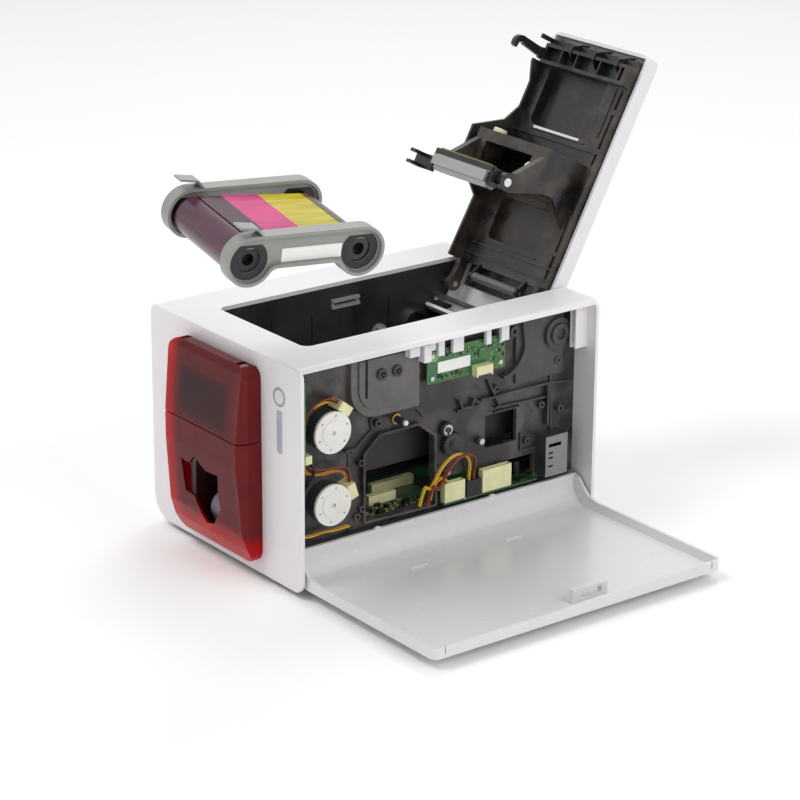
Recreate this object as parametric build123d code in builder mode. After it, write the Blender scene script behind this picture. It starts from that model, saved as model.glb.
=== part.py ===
from build123d import *

import os
from math import atan2, cos, degrees, hypot, radians, sin, sqrt

# Desktop card printer, in millimetres, stored as it stands in the photograph: lid open on its
# stop, side door laid open, ribbon cassette lifted out and floating above the front corner.
# +X points out of the side with the door, -Y out of the front, +Z up, the feet stand on Z = 0.

os.makedirs("parts", exist_ok=True)

# ---------------------------------------------------------------- casing
case_width = 218.0
case_depth = 308.0
case_height = 191.0
foot_height = 4.0
foot_radius = 8.0
case_wall = 3.0
top_wall = 3.5
top_corner_radius = 8.0
far_corner_radius = 22.0
door_corner_radius = 11.0
case_edge_round = 1.2
face_gap = 0.3

half_width = case_width / 2
front_y = -case_depth / 2
rear_y = case_depth / 2
case_bottom = foot_height
case_top = foot_height + case_height
ceiling_z = case_top - top_wall
front_inner_y = front_y + case_wall
rear_inner_y = rear_y - case_wall

# ---------------------------------------------------------------- lid
lid_barrel_radius = 29.5
lid_hinge_drop = 20.4
lid_reach = 240.1
lid_half_width = 61.8
lid_side_gap = 0.8
lid_front_gap = 1.5
lid_skin = 3.0
lid_side_depth = 14.0
lid_side_wall = 3.0
lid_corner_radius = 8.0
lid_open_angle = 118.2
lid_barrel_end_angle = 26.0
lid_pin_radius = 2.5
pin_clearance = 0.06

hinge_y = rear_y - lid_barrel_radius
hinge_z = case_top - lid_hinge_drop
opening_half_width = lid_half_width + lid_side_gap
opening_front_y = hinge_y - lid_reach - lid_front_gap
lid_along = (0, -cos(radians(lid_open_angle)), sin(radians(lid_open_angle)))
lid_inward = (0, -sin(radians(lid_open_angle)), -cos(radians(lid_open_angle)))


def lid_origin(x, depth):
    """Point straight above the hinge axis, in the open lid, at a depth below its outer skin."""
    drop = depth - lid_hinge_drop
    return (x, hinge_y + drop * lid_inward[1], hinge_z + drop * lid_inward[2])


def lid_plan(depth):
    """Plane across the lid: local x is X, local y runs from the hinge to the lid's front edge."""
    return Plane(origin=lid_origin(0, depth), x_dir=(1, 0, 0), z_dir=lid_inward)


def lid_section(x):
    """Plane along the lid: local x runs from the hinge to the front edge, local y is depth."""
    return Plane(origin=lid_origin(x, 0), x_dir=lid_along, z_dir=(1, 0, 0))


def lid_cross(s, depth=0.0):
    """Plane square to the lid's length: its normal runs from the hinge to the front edge."""
    origin = Vector(lid_origin(0, depth)) + Vector(lid_along) * s
    return Plane(origin=origin, x_dir=(-1, 0, 0), z_dir=lid_along)


# ---------------------------------------------------------------- side door
door_axis_inset = 8.25
door_axis_rise = 12.25
door_skin = 3.0
door_rim = 9.5
door_rim_top = 2.5
door_rim_foot = 5.5
door_cove_radius = 20.0
door_reach = 174.25
door_end_gap = 2.0
door_flange = 18.75
door_pin_radius = 2.0
door_ear_wall = 2.6
door_tab_radius = 5.0
door_tab_rise = 1.5
door_tab_places = (-64.0, 57.0)

door_axis_x = half_width - door_axis_inset
door_axis_z = case_bottom + door_axis_rise
door_front_y = front_inner_y + door_end_gap
door_rear_y = rear_inner_y - door_end_gap
door_tab_top = door_flange + door_tab_rise
door_sweep = hypot(door_tab_top, door_axis_rise) + 0.4
base_edge_x = door_axis_x - door_sweep

# ---------------------------------------------------------------- front
panel_opening_half_width = 48.0
panel_opening_low = 20.0
panel_opening_high = 182.0
cover_half_width = 54.0
cover_bottom = 14.0
cover_top = 185.0
cover_parting = 120.8
cover_parting_gap = 1.0
cover_wall = 2.6
cover_depth_top = 17.5
cover_depth_belly = 22.2
cover_depth_low = 18.6
cover_low_z = 42.0
cover_side_radius = 12.0
cover_corner_cut = 9.0
cover_axis_drop = 6.5
cover_pin_radius = 2.0
button_x = 79.4
button_z = 165.5
button_radius = 6.2
button_travel = 1.0
ring_radius = 8.0
light_top_z = 153.9
light_bottom_z = 117.5
light_width = 7.2

# ---------------------------------------------------------------- side compartment
chassis_x = 78.0
chassis_thickness = 4.0
chassis_bottom = 36.0
chassis_rib = 4.0
chassis_face_x = chassis_x + chassis_thickness
motor_y = -114.4
motor_low_z = 69.7
motor_high_z = 131.9
motor_radius = 16.9
motor_length = 13.0
motor_face_radius = 17.6
motor_face_thickness = 2.5
motor_shaft_radius = 2.5
board_thickness = 1.6

# ---------------------------------------------------------------- gears and rollers
gear_module = 0.8
gear_width = 5.0
gear_plane_x = 68.0
platen_radius = 8.0
platen_y = 37.0
platen_z = 74.0
roller_half_length = 29.0
transport_radius = 5.0
pick_radius = 8.0
transport_teeth = 25
circlip_teeth = 15
platen_teeth = 41
pinion_teeth = 14
pick_teeth = 57


def mesh_distance(teeth_a, teeth_b):
    """Distance between the axes of two meshing gears."""
    return gear_module * (teeth_a + teeth_b) / 2


transport_bearing = 142.7
transport_y = platen_y + mesh_distance(transport_teeth, platen_teeth) * cos(radians(transport_bearing))
transport_z = platen_z + mesh_distance(transport_teeth, platen_teeth) * sin(radians(transport_bearing))
circlip_bearing = 114.8
circlip_y = transport_y + mesh_distance(transport_teeth, circlip_teeth) * cos(radians(circlip_bearing))
circlip_z = transport_z + mesh_distance(transport_teeth, circlip_teeth) * sin(radians(circlip_bearing))
pick_bearing = 95.0
pick_y = motor_y + mesh_distance(pinion_teeth, pick_teeth) * cos(radians(pick_bearing))
pick_z = motor_low_z + mesh_distance(pinion_teeth, pick_teeth) * sin(radians(pick_bearing))

transport_shaft_radius = 2.5
circlip_shaft_radius = 2.5
platen_shaft_radius = 2.0
pick_shaft_radius = 3.0

# ---------------------------------------------------------------- chamber
liner_wall = 2.4
liner_floor_z = 80.0
liner_floor = 4.0
liner_floor_front_y = -84.0
liner_rear_y = rear_inner_y
liner_side_lead = 8.9
liner_side_front_y = opening_front_y - liner_side_lead
liner_outer = opening_half_width + liner_wall

# ---------------------------------------------------------------- ribbon cassette
cassette_centre = (84.2, -162.4, 306.0)
cassette_tilt = (-2.5, 7.8, -6.4)
cassette_width = 112.0
cassette_spacing = 95.8
cassette_radius = 20.3
cassette_frame = 12.0
cassette_rim = 2.6
cassette_web = 4.0
cassette_hub_radius = 12.3
hub_gap = 0.4
supply_radius = 16.5
take_up_radius = 11.0
roll_half_length = 40.0
core_radius = 7.0
film_thickness = 0.4
film_half_width = 37.0


def box(x_range, y_range, z_range, mode=Mode.ADD):
    """Block between two limits along each axis."""
    size = [high - low for low, high in (x_range, y_range, z_range)]
    middle = tuple((high + low) / 2 for low, high in (x_range, y_range, z_range))
    with Locations(middle):
        Box(*size, mode=mode)


def rod(plane, radius, length, mode=Mode.ADD):
    """Round bar that starts on a plane and runs along its normal."""
    with BuildSketch(plane) as section:
        Circle(radius)
    extrude(section.sketch, amount=length, mode=mode)


def plate(plane, points, thickness, mode=Mode.ADD):
    """Flat piece with a straight-sided outline, that starts on a plane."""
    with BuildSketch(plane) as section:
        Polygon(*points)
    extrude(section.sketch, amount=thickness, mode=mode)


def across(x, y, z):
    """Plane at a point with its normal along +X: local x is Y, local y is Z."""
    return Plane(origin=(x, y, z), x_dir=(0, 1, 0), z_dir=(1, 0, 0))


def gear_outline(teeth, turn):
    """Outline of a spur gear with straight flanks; turn is where its first tooth points."""
    pitch_radius = gear_module * teeth / 2
    outer = pitch_radius + 0.7 * gear_module
    root = pitch_radius - 1.0 * gear_module
    pitch_angle = 360 / teeth
    points = []
    for tooth in range(teeth):
        middle = turn + tooth * pitch_angle
        for radius, share in ((root, -0.27), (outer, -0.10), (outer, 0.10), (root, 0.27)):
            angle = radians(middle + share * pitch_angle)
            points.append((radius * cos(angle), radius * sin(angle)))
    return points


def gear(plane, teeth, turn, width):
    """Spur gear that starts on a plane."""
    with BuildSketch(plane) as section:
        Polygon(*gear_outline(teeth, turn))
    extrude(section.sketch, amount=width)


# ---------------------------------------------------------------- outer casing
def case_profile(plane):
    """Front view outline of the casing, on a plane that faces -Y."""
    with BuildSketch(plane) as section:
        with Locations((0, case_bottom + case_height / 2)):
            Rectangle(case_width, case_height)
        fillet(section.vertices().group_by(Axis.Y)[-1], top_corner_radius)
        fillet(section.vertices().group_by(Axis.Y)[0].sort_by(Axis.X)[0], far_corner_radius)
        fillet(section.vertices().group_by(Axis.Y)[0].sort_by(Axis.X)[-1], door_corner_radius)
    return section.sketch


tab_low_z = 173.0
tab_x = (90.0, 93.4)
ceiling_tabs = ((-5.0, 1.0), (10.0, 21.0), (45.0, 50.0), (61.0, 69.0))
fin_low_z = 152.0
fin_places = (90.5, 96.0)
fin_thickness = 2.0
fin_y = 138.0
notch_z = hinge_z - lid_barrel_radius * sin(radians(lid_barrel_end_angle)) - 0.7
base_far_x = -half_width + far_corner_radius
front_boss_radius = 3.0
front_board_y = (-143.6, -142.0)
front_board_x = (62.0, 98.0)
front_board_z = (108.0, 180.0)
front_boss_places = ((66.0, 112.0), (66.0, 176.0), (94.0, 112.0), (94.0, 176.0))
port_x = (14.0, 74.0)
port_z = (34.0, 62.0)

with BuildPart() as outer_casing:
    extrude(case_profile(Plane.XZ.offset(-rear_y)), amount=case_depth)
    fillet(outer_casing.faces().sort_by(Axis.Y)[0].edges(), case_edge_round)
    # Hollow: the far wall, top plate, front panel and rear wall stay, the door side is open.
    box(
        (-half_width + case_wall, half_width + case_wall),
        (front_inner_y, rear_inner_y),
        (case_bottom + far_corner_radius, ceiling_z),
        Mode.SUBTRACT,
    )
    box(
        (base_far_x, half_width + case_wall),
        (front_inner_y, rear_inner_y),
        (0, case_bottom + far_corner_radius),
        Mode.SUBTRACT,
    )
    with BuildSketch(Plane.XZ.offset(-rear_inner_y)) as far_hollow:
        with Locations((base_far_x, case_bottom + far_corner_radius)):
            Circle(far_corner_radius - case_wall)
        with Locations((base_far_x, case_bottom + far_corner_radius)):
            Rectangle(far_corner_radius, 2 * far_corner_radius, align=(Align.MIN, Align.CENTER), mode=Mode.SUBTRACT)
    extrude(far_hollow.sketch, amount=rear_inner_y - front_inner_y, mode=Mode.SUBTRACT)
    # Lid opening in the top, with a notch in the rear wall for the lid's barrel.
    box(
        (-opening_half_width, opening_half_width),
        (opening_front_y, rear_y + case_wall),
        (ceiling_z - 1, case_top + 1),
        Mode.SUBTRACT,
    )
    box(
        (-opening_half_width, opening_half_width),
        (rear_inner_y - 1, rear_y + 1),
        (notch_z, case_top),
        Mode.SUBTRACT,
    )
    opening_corners = outer_casing.edges().filter_by(Axis.Z).filter_by_position(
        Axis.Y, opening_front_y - 0.1, opening_front_y + 0.1
    )
    fillet(opening_corners, lid_corner_radius)
    # Openings in the front panel: feeder and hopper mouth, button, light bar.
    box(
        (-panel_opening_half_width, panel_opening_half_width),
        (front_y - 1, front_inner_y + 1),
        (panel_opening_low, panel_opening_high),
        Mode.SUBTRACT,
    )
    rod(
        Plane(origin=(button_x, front_y - 1, button_z), x_dir=(1, 0, 0), z_dir=(0, 1, 0)),
        button_radius + face_gap,
        case_wall + 2,
        Mode.SUBTRACT,
    )
    with BuildSketch(Plane.XZ.offset(-front_inner_y - 1)) as light_slot:
        with Locations((button_x, (light_top_z + light_bottom_z) / 2)):
            Rectangle(light_width, light_top_z - light_bottom_z)
        fillet(light_slot.vertices().group_by(Axis.Y)[0], light_width / 2 - 0.1)
    extrude(light_slot.sketch, amount=case_wall + 2, mode=Mode.SUBTRACT)
    # Rear wall cut-out behind the sockets.
    box(port_x, (rear_inner_y - 1, rear_y + 1), port_z, Mode.SUBTRACT)
    # Tabs that hang from the top plate beside the sensor board, and fins on the rear wall.
    for low_y, high_y in ceiling_tabs:
        box(tab_x, (low_y, high_y), (tab_low_z, ceiling_z + 0.5))
    for fin_x in fin_places:
        box((fin_x, fin_x + fin_thickness), (fin_y, rear_inner_y + 0.5), (fin_low_z, ceiling_z + 0.5))
    # Bosses behind the front panel that carry the front board.
    for boss_x, boss_z in front_boss_places:
        rod(
            Plane(origin=(boss_x, front_inner_y - 0.5, boss_z), x_dir=(1, 0, 0), z_dir=(0, 1, 0)),
            front_boss_radius,
            front_board_y[0] - front_inner_y + 0.5,
        )
    # Moulded pins that the door's ears turn on.
    for pin_y, direction in ((front_inner_y - 0.5, 1), (rear_inner_y + 0.5, -1)):
        rod(
            Plane(origin=(door_axis_x, pin_y, door_axis_z), x_dir=(1, 0, 0), z_dir=(0, direction, 0)),
            door_pin_radius,
            door_end_gap + door_ear_wall + 0.5,
        )

outer_casing.part.label = "outer_casing"
export_step(outer_casing.part, "parts/outer_casing.step")

# ---------------------------------------------------------------- base tray and feet
base_gap = 0.2
base_thickness = 3.0
base_upstand = 3.0
base_upstand_top = 38.0
base_notch_depth = 6.0
base_notch_length = 9.0
base_notch_places = (-122.0, -88.0, -40.0, -10.0, 30.0, 84.0, 120.0)
foot_places = ((0.0, 0.0), (-84.0, -130.0), (62.0, -130.0), (-84.0, 130.0), (62.0, 130.0))

with BuildPart() as base_tray:
    box(
        (base_far_x + base_gap, base_edge_x),
        (front_inner_y + base_gap, rear_inner_y - base_gap),
        (case_bottom, case_bottom + base_thickness),
    )
    box(
        (base_edge_x - base_upstand, base_edge_x),
        (front_inner_y + base_gap, rear_inner_y - base_gap),
        (case_bottom, base_upstand_top),
    )
    for notch_y in base_notch_places:
        box(
            (base_edge_x - base_upstand - 1, base_edge_x + 1),
            (notch_y - base_notch_length / 2, notch_y + base_notch_length / 2),
            (base_upstand_top - base_notch_depth, base_upstand_top + 1),
            Mode.SUBTRACT,
        )

base_tray.part.label = "base_tray"
export_step(base_tray.part, "parts/base_tray.step")

with BuildPart() as feet:
    for foot_x, foot_y in foot_places:
        rod(Plane.XY.move(Location((foot_x, foot_y, 0))), foot_radius, foot_height)
    fillet(feet.edges().group_by(Axis.Z)[0], 0.8)

feet.part.label = "feet"
export_step(feet.part, "parts/feet.step")

# ---------------------------------------------------------------- chamber liner
feeder_half_width = 31.0
feeder_low_z = 102.0
feeder_high_z = 168.0
feeder_rear_y = -88.0
feeder_wall = 2.4
feeder_floor = 2.4
hopper_half_width = 36.0
hopper_low_z = 20.0
hopper_high_z = 86.0
hopper_rear_y = -92.0
platen_slot_y = (12.0, 54.0)
platen_slot_half_width = 60.5
front_wall_low_z = 140.0
rear_wall_high_z = 140.0
catch_peg_y = -88.4
catch_peg_z = 142.6
catch_peg_radius = 2.2
hook_x = (-57.6, -53.0)

with BuildPart() as chamber_liner:
    for side in (-1, 1):
        inner, outer = sorted((side * opening_half_width, side * liner_outer))
        box((inner, outer), (liner_side_front_y, liner_rear_y), (liner_floor_z, ceiling_z))
    box((-liner_outer, liner_outer), (liner_floor_front_y, liner_rear_y), (liner_floor_z - liner_floor, liner_floor_z))
    box(
        (-liner_outer, liner_outer),
        (opening_front_y - liner_wall, opening_front_y),
        (front_wall_low_z, ceiling_z),
    )
    box((-liner_outer, liner_outer), (liner_rear_y - liner_wall, liner_rear_y), (liner_floor_z, rear_wall_high_z))
    # Passage for the card feeder through the front wall.
    box(
        (-feeder_half_width - 1, feeder_half_width + 1),
        (opening_front_y - liner_wall - 1, opening_front_y + 1),
        (front_wall_low_z - 1, feeder_high_z + 1),
        Mode.SUBTRACT,
    )
    # Slot in the floor for the platen and the head's forks.
    box(
        (-platen_slot_half_width, platen_slot_half_width),
        platen_slot_y,
        (liner_floor_z - liner_floor - 1, liner_floor_z + 1),
        Mode.SUBTRACT,
    )
    # Floor ribs along the card path.
    for rib_x in (-24.0, 0.0, 24.0):
        box((rib_x - 1, rib_x + 1), (60.0, 140.0), (liner_floor_z - 0.5, liner_floor_z + 3.5))
    # Vertical ribs on the far wall.
    for rib_y in (-62.0, -20.0, 62.0):
        box((-opening_half_width - 0.5, -opening_half_width + 1.0), (rib_y - 1, rib_y + 1), (liner_floor_z, 172.0))
    # Peg that the lid's hook closes on.
    rod(across(-opening_half_width - 0.5, catch_peg_y, catch_peg_z), catch_peg_radius, hook_x[1] + opening_half_width + 1.5)
    # Bearing holes for the shafts that cross the chamber.
    rod(
        across(-liner_outer - 1, transport_y, transport_z),
        transport_shaft_radius + pin_clearance,
        2 * liner_outer + 2,
        Mode.SUBTRACT,
    )
    rod(
        across(0, pick_y, pick_z),
        pick_shaft_radius + pin_clearance,
        liner_outer + 1,
        Mode.SUBTRACT,
    )
    # Lugs under the floor that carry the platen's shaft.
    for side in (-1, 1):
        inner, outer = sorted((side * platen_slot_half_width, side * liner_outer))
        box((inner, outer), (platen_y - 6, platen_y + 6), (platen_z - 6, liner_floor_z - 1))
    rod(
        across(-liner_outer - 1, platen_y, platen_z),
        platen_shaft_radius + pin_clearance,
        2 * liner_outer + 2,
        Mode.SUBTRACT,
    )

chamber_liner.part.label = "chamber_liner"
export_step(chamber_liner.part, "parts/chamber_liner.step")

# ---------------------------------------------------------------- chassis plate
window_points = (
    (-73.4, 42.0),
    (-1.4, 40.0),
    (-2.9, 101.0),
    (-19.4, 114.0),
    (-58.9, 113.0),
    (-73.6, 100.0),
)
window_rib = 2.2
connector_notch_y = (4.0, 107.0)
connector_notch_top = 60.0
dark_window_y = (54.0, 88.0)
dark_window_z = (76.0, 105.0)
boss_outer = 3.2
boss_hole = 1.4
window_bosses = ((-77.4, 93.9), (-76.4, 53.3), (-81.6, 47.7), (3.0, 70.0))
post_places = ((46.0, 85.9), (9.7, 66.7))
post_height = 9.0
post_radius = 3.6
screw_radius = 2.6
screw_height = 1.8
standoff_places = ((-8.0, 172.0), (-8.0, 153.0), (64.0, 172.0), (64.0, 153.0))
sensor_board_y = (-13.0, 69.0)
sensor_board_z = (148.0, 177.0)
standoff_height = 4.6
shaft_gap = 0.06

with BuildPart() as chassis_plate:
    box((chassis_x, chassis_face_x), (front_inner_y, rear_inner_y), (chassis_bottom, ceiling_z))
    box((base_edge_x, chassis_face_x), (front_inner_y, connector_notch_y[0]), (chassis_bottom, chassis_bottom + 3))
    # Recess at the front edge that the front board stands in.
    box(
        (chassis_x - 1, chassis_face_x + 1),
        (front_inner_y - 1, front_board_y[1] + 2.5),
        (front_board_z[0] - 2, front_board_z[1] + 2),
        Mode.SUBTRACT,
    )
    # Raised rib round the window, then the window itself.
    with BuildSketch(across(chassis_face_x - 0.5, 0, 0)) as window_rim:
        Polygon(*window_points)
        offset(amount=window_rib)
    extrude(window_rim.sketch, amount=chassis_rib + 0.5)
    plate(across(chassis_x - 1, 0, 0), window_points, chassis_thickness + chassis_rib + 2, Mode.SUBTRACT)
    # Notch that the board's connectors stand in, and the dark window above it.
    box(
        (chassis_x - 3, chassis_face_x + 1),
        connector_notch_y,
        (chassis_bottom - 1, connector_notch_top),
        Mode.SUBTRACT,
    )
    box((chassis_x - 1, chassis_face_x + 1), dark_window_y, dark_window_z, Mode.SUBTRACT)
    # Screw bosses beside the window.
    for boss_y, boss_z in window_bosses:
        rod(across(chassis_face_x - 0.5, boss_y, boss_z), boss_outer, chassis_rib + 0.5)
        rod(across(chassis_x - 1, boss_y, boss_z), boss_hole, chassis_thickness + chassis_rib + 2, Mode.SUBTRACT)
    # Posts that take the big screws, and stand-offs of the sensor board.
    for post_y, post_z in post_places:
        rod(across(chassis_face_x - 0.5, post_y, post_z), post_radius, post_height - 3.5)
    for post_y, post_z in standoff_places:
        rod(across(chassis_face_x - 0.5, post_y, post_z), 2.4, standoff_height + 0.5)
    # Shelf ribs, as on the moulding round the card drive.
    box((chassis_face_x - 0.5, chassis_face_x + 5), (46.0, 118.0), (121.0, 123.0))
    box((chassis_face_x - 0.5, chassis_face_x + 5), (118.0, 120.0), (84.0, 123.0))
    box((chassis_face_x - 0.5, chassis_face_x + 3), (22.0, 46.0), (116.0, 118.0))
    box((chassis_face_x - 0.5, chassis_face_x + 3), (-90.0, -88.5), (118.0, 132.0))
    box((chassis_face_x - 0.5, chassis_face_x + 3), (-93.0, -84.0), (106.0, 108.0))
    # Bearing holes: motor shafts, transport shaft, circlip axle.
    for hole_y, hole_z, hole_radius in (
        (motor_y, motor_low_z, motor_shaft_radius + shaft_gap),
        (motor_y, motor_high_z, motor_shaft_radius + shaft_gap),
        (transport_y, transport_z, transport_shaft_radius + shaft_gap),
        (circlip_y, circlip_z, circlip_shaft_radius + shaft_gap),
    ):
        rod(across(chassis_x - 1, hole_y, hole_z), hole_radius, chassis_thickness + chassis_rib + 2, Mode.SUBTRACT)

chassis_plate.part.label = "chassis_plate"
export_step(chassis_plate.part, "parts/chassis_plate.step")

# Screws seated on the posts and in the window bosses.
with BuildPart() as chassis_screws:
    for screw_y, screw_z in post_places:
        rod(across(chassis_face_x + post_height - 4, screw_y, screw_z), screw_radius, screw_height)
    for screw_y, screw_z in standoff_places:
        rod(across(chassis_face_x + standoff_height + board_thickness, screw_y, screw_z), 2.0, 1.2)

chassis_screws.part.label = "chassis_screws"
export_step(chassis_screws.part, "parts/chassis_screws.step")

# ---------------------------------------------------------------- motors
motor_centres = ((motor_y, motor_low_z), (motor_y, motor_high_z))
motor_hole_count = 6
motor_hole_circle = 14.2
motor_hole_radius = 1.1
motor_step_radius = 10.6
plug_turns = (18.0, 52.0)
plug_size = (8.0, 13.0)

with BuildPart() as motor_cans:
    for centre_y, centre_z in motor_centres:
        rod(across(chassis_face_x, centre_y, centre_z), motor_radius, motor_length)
        rod(across(chassis_face_x - 1, centre_y, centre_z), motor_shaft_radius + 0.5, motor_length - 1, Mode.SUBTRACT)

motor_cans.part.label = "motor_cans"
export_step(motor_cans.part, "parts/motor_cans.step")

with BuildPart() as motor_faces:
    for centre_y, centre_z in motor_centres:
        face_plane = across(chassis_face_x + motor_length, centre_y, centre_z)
        rod(face_plane, motor_face_radius, motor_face_thickness)
        rod(face_plane, motor_step_radius, motor_face_thickness + 0.8)
        rod(face_plane.offset(1), 2.0, motor_face_thickness + 2, Mode.SUBTRACT)
        with BuildSketch(face_plane.offset(1)) as holes:
            with PolarLocations(motor_hole_circle, motor_hole_count, start_angle=20):
                Circle(motor_hole_radius)
        extrude(holes.sketch, amount=motor_face_thickness + 1, mode=Mode.SUBTRACT)

motor_faces.part.label = "motor_faces"
export_step(motor_faces.part, "parts/motor_faces.step")

# Lower motor's shaft and pinion: the pinion is in mesh with the pick roller's gear.
pinion_turn = pick_bearing
pick_turn = pick_bearing + 180 + 180 / pick_teeth

with BuildPart() as motor_pinion:
    gear(across(gear_plane_x, motor_y, motor_low_z), pinion_teeth, pinion_turn, gear_width + 1)
    rod(across(gear_plane_x, motor_y, motor_low_z), motor_shaft_radius, chassis_face_x + 8 - gear_plane_x)

motor_pinion.part.label = "motor_pinion"
export_step(motor_pinion.part, "parts/motor_pinion.step")

# ---------------------------------------------------------------- card drive
pick_roller_half = 20.0

with BuildPart() as pick_roller:
    rod(across(-pick_roller_half, pick_y, pick_z), pick_radius, 2 * pick_roller_half)
    rod(across(-feeder_half_width - 1.5, pick_y, pick_z), pick_shaft_radius, gear_plane_x + feeder_half_width + 3)
    gear(across(gear_plane_x, pick_y, pick_z), pick_teeth, pick_turn, gear_width)

pick_roller.part.label = "pick_roller"
export_step(pick_roller.part, "parts/pick_roller.step")

transport_turn = transport_bearing + 180
platen_turn = transport_bearing + 180 / platen_teeth
outer_gear_x = chassis_face_x + 1.0

with BuildPart() as platen_roller:
    rod(across(-roller_half_length, platen_y, platen_z), platen_radius, 2 * roller_half_length)
    rod(across(-47.0, platen_y, platen_z), platen_shaft_radius + 1, 94.0)
    rod(across(-opening_half_width, platen_y, platen_z), platen_shaft_radius, gear_plane_x + opening_half_width + 1)
    gear(across(gear_plane_x, platen_y, platen_z), platen_teeth, platen_turn, gear_width)

platen_roller.part.label = "platen_roller"
export_step(platen_roller.part, "parts/platen_roller.step")

# The roller is a sleeve on the shaft.
with BuildPart() as transport_roller:
    rod(across(-roller_half_length, transport_y, transport_z), transport_radius, 2 * roller_half_length)
    rod(
        across(-roller_half_length - 1, transport_y, transport_z),
        transport_shaft_radius,
        2 * roller_half_length + 2,
        Mode.SUBTRACT,
    )

transport_roller.part.label = "transport_roller"
export_step(transport_roller.part, "parts/transport_roller.step")

transport_shaft_end = outer_gear_x + gear_width + 1.5
with BuildPart() as transport_gear:
    rod(across(-liner_outer - 1, transport_y, transport_z), transport_shaft_radius, transport_shaft_end + liner_outer + 1)
    gear(across(gear_plane_x, transport_y, transport_z), transport_teeth, transport_turn, gear_width)
    gear(across(outer_gear_x, transport_y, transport_z), transport_teeth, circlip_bearing, gear_width)
    rod(across(outer_gear_x + gear_width - 0.5, transport_y, transport_z), 4.2, 1.3)

transport_gear.part.label = "transport_gear"
export_step(transport_gear.part, "parts/transport_gear.step")

circlip_turn = circlip_bearing + 180 + 180 / circlip_teeth
circlip_axle_end = outer_gear_x + gear_width + 2.5

with BuildPart() as circlip_gear:
    rod(across(chassis_x - 2, circlip_y, circlip_z), circlip_shaft_radius, circlip_axle_end - chassis_x + 2)
    gear(across(outer_gear_x, circlip_y, circlip_z), circlip_teeth, circlip_turn, gear_width)

circlip_gear.part.label = "circlip_gear"
export_step(circlip_gear.part, "parts/circlip_gear.step")

with BuildPart() as circlip:
    with BuildSketch(across(outer_gear_x + gear_width + 0.2, circlip_y, circlip_z)) as ring:
        Circle(4.6)
        Circle(circlip_shaft_radius, mode=Mode.SUBTRACT)
        with Locations((0, -4)):
            Rectangle(2.6, 6, mode=Mode.SUBTRACT)
    extrude(ring.sketch, amount=1.0)

circlip.part.label = "circlip"
export_step(circlip.part, "parts/circlip.step")

# ---------------------------------------------------------------- boards and connectors
main_board_z = 38.0
main_board_x = (8.0, 76.0)
main_board_y = (-66.0, 146.0)
main_board_edge_x = 89.4
main_board_top = main_board_z + board_thickness
board_row = (
    ("cream", (6.5, 28.0), 17.0),
    ("black", (30.0, 45.0), 14.0),
    ("cream", (47.0, 78.0), 20.0),
)
connector_x = (83.0, 89.0)
sensor_board_x = chassis_face_x + standoff_height
sensor_face_x = sensor_board_x + board_thickness

with BuildPart() as main_board:
    box(main_board_x, main_board_y, (main_board_z, main_board_top))
    box(
        (main_board_x[1] - 1, main_board_edge_x),
        (connector_notch_y[0] + 1, connector_notch_y[1] - 1),
        (main_board_z, main_board_top),
    )
    for pad_y in (-60.0, 140.0):
        box((14.0, 20.0), (pad_y, pad_y + 5), (case_bottom + base_thickness, main_board_z + 0.5))
        box((66.0, 72.0), (pad_y, pad_y + 5), (case_bottom + base_thickness, main_board_z + 0.5))

main_board.part.label = "main_board"
export_step(main_board.part, "parts/main_board.step")

with BuildPart() as board_connectors:
    for colour, (low_y, high_y), height in board_row:
        if colour == "cream":
            box(connector_x, (low_y, high_y), (main_board_top, main_board_top + height))
            box(
                (connector_x[0] + 1.2, connector_x[1] - 1.2),
                (low_y + 1.2, high_y - 1.2),
                (main_board_top + height - 5, main_board_top + height + 1),
                Mode.SUBTRACT,
            )
    box((30.0, 36.0), (-30.0, 14.0), (main_board_top, main_board_top + 8))
    box((50.0, 56.0), (-48.0, -20.0), (main_board_top, main_board_top + 8))
    # Plugs at the rims of the two motors.
    for (centre_y, centre_z), turn in zip(motor_centres, plug_turns):
        middle = motor_face_radius + plug_size[0] / 2 + 0.1
        plug_plane = across(
            chassis_face_x,
            centre_y + middle * cos(radians(turn)),
            centre_z + middle * sin(radians(turn)),
        )
        with BuildSketch(plug_plane) as plug:
            with Locations(Location((0, 0), turn)):
                Rectangle(*plug_size)
        extrude(plug.sketch, amount=motor_length + 1)
    # Plug on the sensor board.
    box((sensor_face_x, sensor_face_x + 7), (34.0, 51.0), (147.0, 156.0))
    box((sensor_face_x + 4, sensor_face_x + 8), (35.5, 49.5), (146.0, 149.0), Mode.SUBTRACT)

board_connectors.part.label = "board_connectors"
export_step(board_connectors.part, "parts/board_connectors.step")

with BuildPart() as board_chips:
    for colour, (low_y, high_y), height in board_row:
        if colour == "black":
            box(connector_x, (low_y, high_y), (main_board_top, main_board_top + height))
    for chip_x, chip_y, chip_size in ((24.0, -44.0, 14.0), (44.0, 24.0, 20.0), (62.0, 70.0, 12.0), (84.0, 92.0, 8.0)):
        box(
            (chip_x - chip_size / 2, chip_x + chip_size / 2),
            (chip_y - chip_size / 2, chip_y + chip_size / 2),
            (main_board_top, main_board_top + 2),
        )
    for cap_y in (86.0, 98.0):
        rod(Plane.XY.offset(main_board_top).move(Location((70.0, cap_y, 0))), 4.0, 12.0)

board_chips.part.label = "board_chips"
export_step(board_chips.part, "parts/board_chips.step")

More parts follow.
